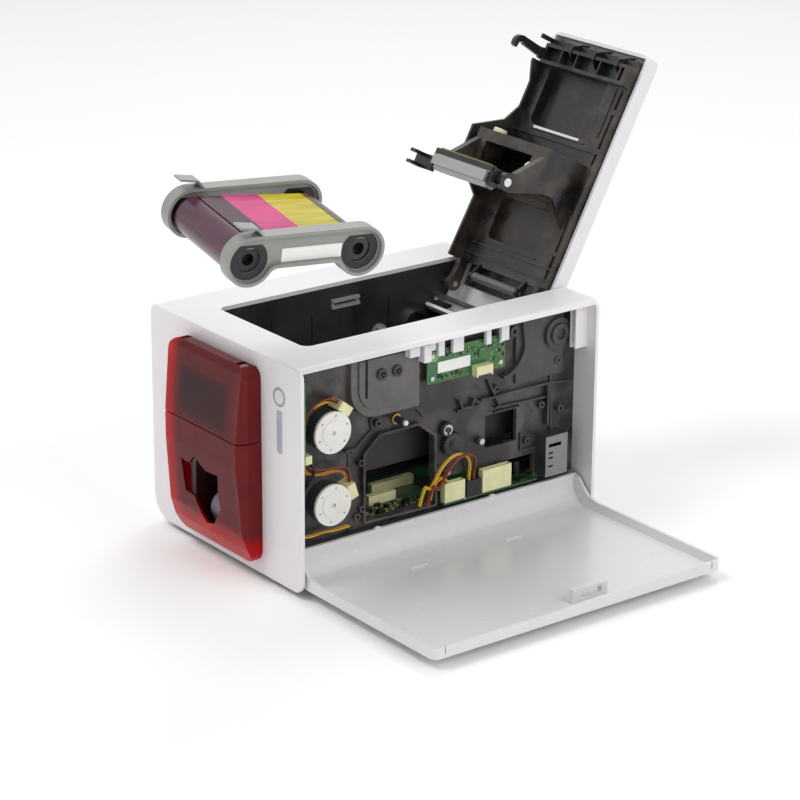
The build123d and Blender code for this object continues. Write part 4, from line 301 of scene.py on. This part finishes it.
# Painted light: lighter band on the near bevel of the bays.
painted_bevel_light = red_look.grey_ramp(red_look.sum("ADD", across, 0.5), 0.542, 0.549)
tone = red_look.mix(painted_bay_shade, rgb(0.86, 0.02, 0.06), rgb(0.44, 0.04, 0.07))
tone = red_look.mix(painted_pocket_shade, tone, rgb(0.25, 0.03, 0.05))
tone = red_look.mix(red_look.sum("MULTIPLY", painted_bevel_light, painted_bay_shade), tone, rgb(0.52, 0.12, 0.13))
red_look.colour(red_look.mix(red_look.grey_ramp(red_look.noise(24.0, detail=4.0), 0.35, 0.7, 0.0, 0.35), tone, rgb(0.55, 0.45, 0.45), "MULTIPLY"))
red_look.roughness(red_look.grey_ramp(red_look.noise(60.0), 0.3, 0.7, 0.08, 0.15))
red_look.bump(red_look.noise(1200.0), 0.015)
red_look.set(Transmission_Weight=0.35, IOR=1.33, Specular_IOR_Level=0.25)

CASSETTE_CENTRE = Vector((0.0842, -0.1624, 0.3060))
CASSETTE_WIDE = Vector((0.9846, -0.1172, -0.1299))
CASSETTE_ALONG = Vector((0.1104, 0.9922, -0.0585))
CASSETTE_UP = Vector((0.1357, 0.0432, 0.9898))

ribbon_look = Look("ribbon_wound")
winding = ribbon_look.noise(30.0, detail=5.0, stretch=(0.6, 6.0, 6.0))
outward = ribbon_look.along(CASSETTE_WIDE, CASSETTE_CENTRE)
hub = ribbon_look.sum("GREATER_THAN", ribbon_look.sum("ABSOLUTE", outward, 0.0), 0.0425)
wound = ribbon_look.ramp(winding, ((0.3, rgb(0.20, 0.03, 0.14)), (0.7, rgb(0.33, 0.06, 0.22))))
ribbon_look.colour(ribbon_look.mix(hub, wound, rgb(0.08, 0.08, 0.08)))
ribbon_look.roughness(ribbon_look.grey_ramp(winding, 0.3, 0.7, 0.18, 0.3))
ribbon_look.bump(winding, 0.12, 0.0006)
ribbon_look.set(Coat_Weight=0.25, Coat_Roughness=0.12)

film_look = Look("film_panels")
length = film_look.along(CASSETTE_ALONG, CASSETTE_CENTRE)
share = film_look.sum("ADD", film_look.sum("MULTIPLY", length, 10.0), 0.5)
panels = film_look.ramp(
    share,
    (
        (0.0, rgb(0.26, 0.05, 0.18)),
        (0.22, rgb(0.84, 0.16, 0.50)),
        (0.545, rgb(0.80, 0.74, 0.02)),
        (0.93, rgb(0.36, 0.34, 0.08)),
    ),
    "CONSTANT",
)
streaks = film_look.noise(24.0, detail=5.0, stretch=(6.0, 0.5, 1.0))
film_look.colour(film_look.mix(film_look.grey_ramp(streaks, 0.35, 0.7, 0.0, 0.55), panels, rgb(0.45, 0.38, 0.30), "MULTIPLY"))
film_look.roughness(0.22)
film_look.bump(film_look.noise(40.0, detail=3.0, stretch=(4.0, 0.6, 1.0)), 0.25, 0.001)
film_look.set(Specular_IOR_Level=0.3)

dress(casing_look, "outer_casing", "lid_cover")
dress(door_shaded_look, "side_door")
dress(tray_look, "base_tray")
dress(foot_look, "feet")
dress(liner_look, "chamber_liner")
dress(chassis_look, "chassis_plate")
dress(steel_look, "chassis_screws", "circlip", "motor_pinion", "lid_hinge_pins", "drive_ring")
dress(bar_look, "cross_bar")
dress(can_look, "motor_cans")
dress(disc_look, "motor_faces")
dress(main_look, "main_board")
dress(sensor_look, "sensor_board")
dress(front_look, "front_board")
dress(cream_look, "board_connectors", "front_plug")
dress(chip_look, "board_chips", "rear_ports")
dress(duct_look, "duct_cover")
dress(housing_look, "drive_housing")
dress(port_look, "port_bracket")
dress(fitting_look, "wall_catch", "supply_dog", "take_up_dog")
dress(hopper_look, "feeder_body", "hopper_body")
dress(guide_look, "hopper_guide")
dress(red_look, "hopper_cover", "feeder_cover")
dress(button_look, "button_cap")
dress(ring_look, "button_ring")
dress(light_look, "light_bar")
dress(lid_look, "lid_frame")
dress(carriage_look, "head_carriage")
dress(sink_look, "heat_sink")
dress(strip_look, "head_strip")
dress(pin_look, "carriage_pins")
dress(knob_look, "ivory_knob")
dress(hook_look, "latch_hook")
dress(roller_look, "idler_roller", "pick_roller")
dress(rubber_look, "platen_roller", "transport_roller")
dress(gear_look, "transport_gear", "circlip_gear")
dress(cassette_look, "cassette_near_frame", "cassette_far_frame", "cassette_bars")
dress(core_look, "supply_core")
dress(ribbon_look, "supply_roll", "take_up_spool")
dress(film_look, "ribbon_film")
dress(yellow_look, "yellow_wires")
dress(brown_look, "brown_wires")

# ---------------------------------------------------------------- pieces added to the frame
label_look = moulded("label_white", rgb(0.93, 0.93, 0.92), rough=0.5, mottle=0.02, mottle_scale=80.0)
dot_look = moulded("dot_green", rgb(0.45, 0.66, 0.42), rough=0.4)
tan_look = moulded("parts_tan", rgb(0.62, 0.55, 0.38), rough=0.35, mottle=0.15, mottle_scale=300.0)
dark_look = moulded("parts_dark", rgb(0.10, 0.10, 0.11), rough=0.35, mottle=0.2, mottle_scale=300.0)


def object_from(name, mesh, look, body):
    """Mesh as a piece of the object, on a body."""
    data = bpy.data.meshes.new(name)
    mesh.to_mesh(data)
    mesh.free()
    obj = bpy.data.objects.new(name, data)
    bpy.context.scene.collection.objects.link(obj)
    data.materials.append(look.material)
    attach(obj, body)
    return obj


def slab(mesh, corner, sides, bevel=0.0002):
    """Bevelled block from a corner along three side vectors."""
    corner = Vector(corner)
    first, second, third = (Vector(side) for side in sides)
    made = []
    for a in (0, 1):
        for b in (0, 1):
            for c in (0, 1):
                made.append(mesh.verts.new(corner + first * a + second * b + third * c))
    v = made
    faces = ((0, 1, 3, 2), (4, 6, 7, 5), (0, 4, 5, 1), (2, 3, 7, 6), (0, 2, 6, 4), (1, 5, 7, 3))
    built = [mesh.faces.new([v[i] for i in face]) for face in faces]
    bmesh.ops.recalc_face_normals(mesh, faces=built)
    edges = list({edge for face in built for edge in face.edges})
    bmesh.ops.bevel(mesh, geom=edges, offset=bevel, segments=2, profile=0.5, affect="EDGES")


def label(name, corner, sides, body, look=label_look):
    mesh = bmesh.new()
    slab(mesh, corner, sides, bevel=0.00006)
    return object_from(name, mesh, look, body)


SENSOR_FACE = 0.0882
label("sensor_label", (SENSOR_FACE, -0.002, 0.1562), ((0.0002, 0, 0), (0, 0.034, 0), (0, 0, 0.0096)), "casing")
label(
    "cassette_label",
    CASSETTE_CENTRE + CASSETTE_WIDE * 0.0520 - CASSETTE_ALONG * 0.020 - CASSETTE_UP * 0.004,
    (CASSETTE_WIDE * 0.0002, CASSETTE_ALONG * 0.052, CASSETTE_UP * 0.011),
    "cassette",
)

LID_TURN = math.radians(118.2)
LID_ALONG = Vector((0, -math.cos(LID_TURN), math.sin(LID_TURN)))
LID_INWARD = Vector((0, -math.sin(LID_TURN), -math.cos(LID_TURN)))
LID_HINGE = Vector((0, 0.1245, 0.1746))


def in_lid(x, s, depth):
    """Place in the open lid: across, from the hinge towards its front edge, and below its skin."""
    return LID_HINGE + Vector((x, 0, 0)) + LID_ALONG * s + LID_INWARD * (depth - 0.0204)


label("lid_strip", in_lid(-0.036, 0.1514, 0.018), ((0.060, 0, 0), LID_ALONG * 0.0032, LID_INWARD * 0.0003), "lid")


def round_patch(name, centre, radius, body, look):
    """Thin round sticker that faces +X."""
    mesh = bmesh.new()
    made = bmesh.ops.create_cone(mesh, cap_ends=True, segments=40, radius1=radius, radius2=radius * 0.97, depth=0.0003)
    turn = Matrix.Translation(centre) @ Matrix.Rotation(math.radians(90), 4, "Y")
    bmesh.ops.transform(mesh, matrix=turn, verts=made["verts"])
    return object_from(name, mesh, look, body)


round_patch("sensor_dot", (SENSOR_FACE + 0.00015, -0.0056, 0.1713), 0.0046, "casing", dot_look)


def small_parts(name, count, seed, look, spans, heights, sizes, face, axis):
    """Scattered surface-mounted parts on a board face; axis is the direction that they stand in."""
    draw = random.Random(seed)
    mesh = bmesh.new()
    placed = []
    others = [i for i in range(3) if i != axis]
    for _ in range(count * 6):
        if len(placed) >= count:
            break
        span = draw.choice(spans)
        size = [draw.uniform(*sizes), draw.uniform(*sizes)]
        if draw.random() < 0.5:
            size[0] *= 0.5
        place = [draw.uniform(low, high - side) for (low, high), side in zip(span, size)]
        clear = all(
            place[0] > x + w or place[0] + size[0] < x or place[1] > y + h or place[1] + size[1] < y
            for x, y, w, h in placed
        )
        if not clear:
            continue
        placed.append((place[0] - 0.0004, place[1] - 0.0004, size[0] + 0.0008, size[1] + 0.0008))
        corner = [0.0, 0.0, 0.0]
        corner[axis] = face
        corner[others[0]], corner[others[1]] = place
        sides = [[0.0] * 3 for _ in range(3)]
        sides[0][axis] = draw.uniform(*heights)
        sides[1][others[0]] = size[0]
        sides[2][others[1]] = size[1]
        slab(mesh, corner, sides, bevel=0.00015)
    return object_from(name, mesh, look, "casing")


SENSOR_SPANS = (((0.036, 0.068), (0.158, 0.176)), ((0.052, 0.068), (0.149, 0.176)), ((-0.012, 0.030), (0.149, 0.1555)), ((0.002, 0.034), (0.167, 0.176)))
small_parts("sensor_parts_tan", 46, 3, tan_look, SENSOR_SPANS, (0.0004, 0.0009), (0.0010, 0.0026), SENSOR_FACE, 0)
small_parts("sensor_parts_dark", 20, 5, dark_look, SENSOR_SPANS, (0.0007, 0.0012), (0.0016, 0.0040), SENSOR_FACE, 0)
MAIN_TOP = 0.0396
MAIN_SPANS = (((0.058, 0.081), (-0.062, 0.000)), ((0.030, 0.074), (0.096, 0.142)))
small_parts("main_parts_tan", 60, 7, tan_look, MAIN_SPANS, (0.0006, 0.0020), (0.0012, 0.0036), MAIN_TOP, 2)
small_parts("main_parts_dark", 26, 9, dark_look, MAIN_SPANS, (0.0010, 0.0040), (0.0024, 0.0070), MAIN_TOP, 2)


def wire_curve(name, points, radius, look):
    """Insulated wire along a smooth curve, fixed inside the casing."""
    data = bpy.data.curves.new(name, "CURVE")
    data.dimensions = "3D"
    data.bevel_depth = radius
    data.bevel_resolution = 3
    data.resolution_u = 8
    spline = data.splines.new("NURBS")
    spline.points.add(len(points) - 1)
    for point, place in zip(spline.points, points):
        point.co = (*place, 1.0)
    spline.order_u = 3
    spline.use_endpoint_u = True
    obj = bpy.data.objects.new(name, data)
    bpy.context.scene.collection.objects.link(obj)
    data.materials.append(look.material)
    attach(obj, "casing")
    return obj


orange_look = moulded("wire_orange", rgb(0.80, 0.42, 0.10), rough=0.35)
black_wire_look = moulded("wire_black", rgb(0.09, 0.09, 0.09), rough=0.35)
MOTOR_ROUTES = (
    ((-0.1012, 0.1500), (-0.109, 0.1575), (-0.122, 0.1575), (-0.135, 0.1500), (-0.1395, 0.1300), (-0.1400, 0.1180)),
    ((-0.0940, 0.0778), (-0.093, 0.0920), (-0.106, 0.0970), (-0.124, 0.0960), (-0.1370, 0.1020), (-0.1400, 0.1130)),
)
STRANDS = (yellow_look, orange_look, black_wire_look, brown_look)
STRAND_SLOTS = ("wire_yellow", "wire_yellow", "chip_black", "wire_brown")
for motor, route in enumerate(MOTOR_ROUTES):
    for strand, (look, slot) in enumerate(zip(STRANDS, STRAND_SLOTS)):
        wander = random.Random(20 + 10 * motor + strand)
        shift = (strand - 1.5) * 0.0016
        points = []
        for index, (y, z) in enumerate(route):
            spread = 0.0 if index in (0, len(route) - 1) else 0.0014
            points.append(
                (
                    0.0895 + shift * 0.8 + wander.uniform(0, spread),
                    y + wander.uniform(-spread, spread),
                    z + shift + wander.uniform(-spread, spread),
                )
            )
        wire_curve(f"motor_wire_{motor}_{strand}", points, 0.0007, look)

LOOM = ((-0.1395, 0.1120), (-0.1320, 0.1040), (-0.1300, 0.0940), (-0.1380, 0.0830), (-0.1455, 0.0720), (-0.1470, 0.0560))
for strand in range(5):
    wander = random.Random(50 + strand)
    points = []
    for y, z in LOOM:
        points.append(
            (0.0865 + 0.0016 * strand, y + wander.uniform(-0.0016, 0.0016), z + wander.uniform(-0.0016, 0.0016) + 0.001 * strand)
        )
    wire_curve(f"loom_{strand}", points, 0.0007, black_wire_look)
FOOT_RUN = ((-0.1470, 0.0480), (-0.1400, 0.0440), (-0.1300, 0.0430), (-0.1180, 0.0440), (-0.1050, 0.0425), (-0.0920, 0.0430))
for strand, look in enumerate((yellow_look, orange_look, yellow_look)):
    points = [(0.0860 + 0.0015 * strand, y, z + 0.0004 * (index % 2)) for index, (y, z) in enumerate(FOOT_RUN)]
    wire_curve(f"foot_wire_{strand}", points, 0.0006, look)

CHASSIS_FACE = 0.0818


def rail(mesh, start, end, width, height, base=CHASSIS_FACE):
    """Rib on the chassis plate between two (y, z) places."""
    first = Vector((0, *start)) * 0.001
    last = Vector((0, *end)) * 0.001
    run = last - first
    side = Vector((0, -run.z, run.y)).normalized() * width * 0.001
    corner = first - side / 2 + Vector((base, 0, 0))
    slab(mesh, corner, (run, side, (height * 0.001, 0, 0)), bevel=0.0003)


def turned(mesh, base, centre, profile, segments=28):
    """Turned piece that stands on the chassis plate: profile is (height, radius) pairs in mm."""
    y, z = centre
    loops = []
    for height, radius in profile:
        loop = []
        for step in range(segments):
            angle = 2 * math.pi * step / segments
            place = (base + height * 0.001, (y + radius * math.cos(angle)) * 0.001, (z + radius * math.sin(angle)) * 0.001)
            loop.append(mesh.verts.new(place))
        loops.append(loop)
    faces = []
    for low, high in zip(loops, loops[1:]):
        for step in range(segments):
            following = (step + 1) % segments
            faces.append(mesh.faces.new((low[step], low[following], high[following], high[step])))
    faces.append(mesh.faces.new(loops[-1]))
    faces.append(mesh.faces.new(list(reversed(loops[0]))))
    bmesh.ops.recalc_face_normals(mesh, faces=faces)


RIB_ROUTES = (
    (((63.0, 111.5), (117.5, 109.6)), 1.6, 3.5),
    (((54.0, 137.8), (66.9, 112.9)), 2.0, 4.0),
    (((23.7, 126.4), (26.9, 118.5), (37.1, 118.5), (39.0, 125.0)), 1.5, 4.5),
    (((-65.4, 119.0), (-67.4, 129.0), (-59.6, 131.2), (-30.3, 131.0), (-20.4, 129.0), (-12.3, 119.3)), 1.3, 2.5),
    (((-89.0, 107.7), (-89.0, 86.5)), 1.2, 1.5),
    (((122.3, 153.5), (124.7, 75.2)), 1.4, 2.5),
    (((62.0, 107.0), (90.0, 107.0)), 1.4, 3.0),
    (((92.0, 82.0), (92.0, 66.0), (108.5, 66.0)), 1.4, 2.5),
    (((-66.0, 119.0), (-86.0, 104.0)), 1.3, 2.0),
    (((123.0, 150.0), (72.0, 140.0)), 1.4, 2.5),
    (((124.0, 121.0), (146.0, 118.0)), 1.4, 2.5),
)
ribs = bmesh.new()
for route, width, height in RIB_ROUTES:
    for start, end in zip(route, route[1:]):
        rail(ribs, start, end, width, height)
object_from("chassis_ribs", ribs, housing_look, "casing")

BOSS_RING = ((0.0, 3.4), (4.0, 3.2), (4.2, 2.9), (4.2, 1.5), (1.0, 1.4))
bosses = bmesh.new()
for centre in ((98.0, 74.0), (113.1, 103.5), (63.4, 128.0), (-60.5, 124.5), (130.0, 140.0), (134.0, 96.0)):
    turned(bosses, CHASSIS_FACE, centre, BOSS_RING)
for centre in ((-44.3, 168.0), (-60.0, 168.0)):
    turned(bosses, CHASSIS_FACE + 0.005, centre, ((0.0, 5.0), (4.0, 4.8), (4.4, 4.2), (4.4, 2.6), (2.6, 2.4), (2.6, 1.2), (5.0, 1.0)))
object_from("chassis_bosses", bosses, housing_look, "casing")

shaft = bmesh.new()
turned(shaft, CHASSIS_FACE, (-41.1, 124.0), ((0.0, 4.6), (1.2, 4.6), (1.4, 3.3), (14.0, 3.1), (14.4, 2.6)))
object_from("stub_shaft", shaft, gear_look, "casing")
tips = bmesh.new()
turned(tips, CHASSIS_FACE + 0.0143, (-41.1, 124.0), ((0.0, 2.2), (1.6, 2.1), (2.0, 1.6)))
object_from("stub_shaft_tip", tips, pin_look, "casing")
collar = bmesh.new()
turned(collar, CHASSIS_FACE + 0.0012, (-41.1, 124.0), ((0.0, 4.4), (1.6, 4.4), (1.8, 3.9)))
object_from("stub_shaft_collar", collar, metal("brass", rgb(0.78, 0.64, 0.32), rough=0.3), "casing")

clips = bmesh.new()
for (y_low, y_high), (z_low, z_high), height in (
    ((-36.0, -25.5), (178.0, 186.0), 0.008),
    ((-22.0, -14.5), (171.0, 186.0), 0.009),
    ((-13.0, -7.0), (178.5, 186.0), 0.005),
):
    corner = (CHASSIS_FACE + 0.0055, y_low * 0.001, z_low * 0.001)
    sides = ((height, 0, 0), (0, (y_high - y_low) * 0.001, 0), (0, 0, (z_high - z_low) * 0.001))
    slab(clips, corner, sides, bevel=0.0006)
object_from("ceiling_clips", clips, casing_look, "casing")

# Black lining of the lid beside its hinge, and the rail along its near edge.
lining = bmesh.new()
slab(lining, in_lid(-0.0570, 0.0030, 0.0032), ((0.114, 0, 0), LID_ALONG * 0.0200, LID_INWARD * 0.0012), bevel=0.0004)
object_from("lid_lining", lining, lid_look, "lid")
rails = bmesh.new()
for across_mm, s_low, s_high, depth, height in (
    (50.5, 30, 92, 18.0, 1.6),
    (50.5, 136, 205, 18.0, 1.6),
    (44.0, 160, 205, 18.0, 0.9),
):
    corner = in_lid(across_mm * 0.001, s_low * 0.001, depth * 0.001)
    slab(rails, corner, ((0.0012, 0, 0), LID_ALONG * (s_high - s_low) * 0.001, LID_INWARD * height * 0.001), bevel=0.0003)
for s_mm in (52, 108, 146, 182):
    slab(rails, in_lid(0.0515, s_mm * 0.001, 0.018), ((0.0040, 0, 0), LID_ALONG * 0.005, LID_INWARD * 0.0022), bevel=0.0005)
for s_mm in (44.0, 92.0, 151.0):
    slab(rails, in_lid(-0.0400, s_mm * 0.001, 0.018), ((0.072, 0, 0), LID_ALONG * 0.0014, LID_INWARD * 0.0010), bevel=0.0003)
object_from("lid_rails", rails, lid_look, "lid")

# Flat black rings round the cassette's hubs, flat at the top, on both faces of each frame wall: painted shade for the
# dark hollow round each hub.
WELL_INNER = 0.0102
WELL_OUTER = 0.0158
WELL_FLAT = 0.0122
WELL_THICK = 0.0004
WELL_STEPS = 56
for end, out_from in (("near", 0.0520), ("far", -0.0524), ("far_inside", -0.0480), ("near_inside", 0.0476)):
    well_shade = bmesh.new()
    for hub_along in (-0.0479, 0.0479):
        rings = []
        for out in (out_from, out_from + WELL_THICK):
            for radius in (WELL_INNER, WELL_OUTER):
                ring = []
                for step in range(WELL_STEPS):
                    angle = 2 * math.pi * step / WELL_STEPS
                    reached = radius
                    if radius == WELL_OUTER and math.sin(angle) * radius > WELL_FLAT:
                        reached = WELL_FLAT / math.sin(angle)
                    place = CASSETTE_CENTRE + CASSETTE_WIDE * out
                    place = place + CASSETTE_ALONG * (hub_along + reached * math.cos(angle))
                    place = place + CASSETTE_UP * reached * math.sin(angle)
                    ring.append(well_shade.verts.new(place))
                rings.append(ring)
        faces = []
        for first, second in ((0, 1), (1, 3), (3, 2), (2, 0)):
            for step in range(WELL_STEPS):
                following = (step + 1) % WELL_STEPS
                corner_verts = (rings[first][step], rings[second][step], rings[second][following], rings[first][following])
                faces.append(well_shade.faces.new(corner_verts))
        bmesh.ops.recalc_face_normals(well_shade, faces=faces)
    object_from(f"hub_well_shade_{end}", well_shade, core_look, "cassette")

# ---------------------------------------------------------------- floor, light, camera
floor_mesh = bpy.data.meshes.new("floor")
sheet = bmesh.new()
reach = 6.0
corners = [sheet.verts.new((x, y, -0.0005)) for x, y in ((-reach, -reach), (reach, -reach), (reach, reach), (-reach, reach))]
sheet.faces.new(corners)
sheet.to_mesh(floor_mesh)
sheet.free()
floor = bpy.data.objects.new("floor", floor_mesh)
bpy.context.scene.collection.objects.link(floor)
floor_look = Look("floor_pale")
floor_look.colour(floor_look.ramp(floor_look.noise(3.0), ((0.3, (0.955, 0.955, 0.955, 1)), (0.7, (0.965, 0.965, 0.965, 1)))))
floor_look.roughness(0.9)
floor.data.materials.append(floor_look.material)

world = bpy.data.worlds.new("studio")
bpy.context.scene.world = world
world.use_nodes = True
tree = world.node_tree
backdrop = tree.nodes["Background"]
backdrop.inputs["Color"].default_value = (1, 1, 1, 1)
backdrop.inputs["Strength"].default_value = 0.62
seen = tree.nodes.new("ShaderNodeBackground")
seen.inputs["Color"].default_value = (1, 1, 1, 1)
seen.inputs["Strength"].default_value = 1.0
rays = tree.nodes.new("ShaderNodeLightPath")
choose = tree.nodes.new("ShaderNodeMixShader")
straight = rays.outputs["Is Camera Ray"]
for kind in ("Is Glossy Ray", "Is Transmission Ray"):
    either = tree.nodes.new("ShaderNodeMath")
    either.operation = "ADD"
    either.use_clamp = True
    tree.links.new(straight, either.inputs[0])
    tree.links.new(rays.outputs[kind], either.inputs[1])
    straight = either.outputs[0]
tree.links.new(straight, choose.inputs[0])
tree.links.new(backdrop.outputs[0], choose.inputs[1])
tree.links.new(seen.outputs[0], choose.inputs[2])
tree.links.new(choose.outputs[0], tree.nodes["World Output"].inputs["Surface"])


def lamp(name, place, target, size, power):
    data = bpy.data.lights.new(name, "AREA")
    data.shape = "DISK"
    data.size = size
    data.energy = power
    obj = bpy.data.objects.new(name, data)
    bpy.context.scene.collection.objects.link(obj)
    obj.location = place
    obj.rotation_euler = (Vector(target) - Vector(place)).to_track_quat("-Z", "Y").to_euler()
    return obj


MIDDLE = (0.06, 0.0, 0.15)
lamp("key", (-0.5, -1.3, 2.6), MIDDLE, 1.2, 24.0)
lamp("fill", (2.4, 0.4, 1.7), MIDDLE, 1.6, 20.0)
lamp("back", (-1.2, 1.4, 2.4), MIDDLE, 1.4, 16.0)

YAW = math.radians(-52.65)
PITCH = math.radians(19.88)
ROLL = math.radians(0.38)
forward = Vector((math.cos(PITCH) * math.sin(YAW), math.cos(PITCH) * math.cos(YAW), -math.sin(PITCH)))
right = Vector((math.cos(YAW), -math.sin(YAW), 0))
up = right.cross(forward)
right_turned = right * math.cos(ROLL) + up * math.sin(ROLL)
up_turned = up * math.cos(ROLL) - right * math.sin(ROLL)
camera_data = bpy.data.cameras.new("camera")
camera_data.sensor_width = 36.0
camera_data.lens = 2846.3 * 36.0 / 800.0
camera_data.clip_end = 30.0
camera = bpy.data.objects.new("camera", camera_data)
bpy.context.scene.collection.objects.link(camera)
turn = Matrix((right_turned, up_turned, -forward)).transposed()
camera.matrix_world = Matrix.Translation((1.8198, -1.3622, 0.9291)) @ turn.to_4x4()
bpy.context.scene.camera = camera
bpy.context.scene.view_settings.view_transform = "Standard"
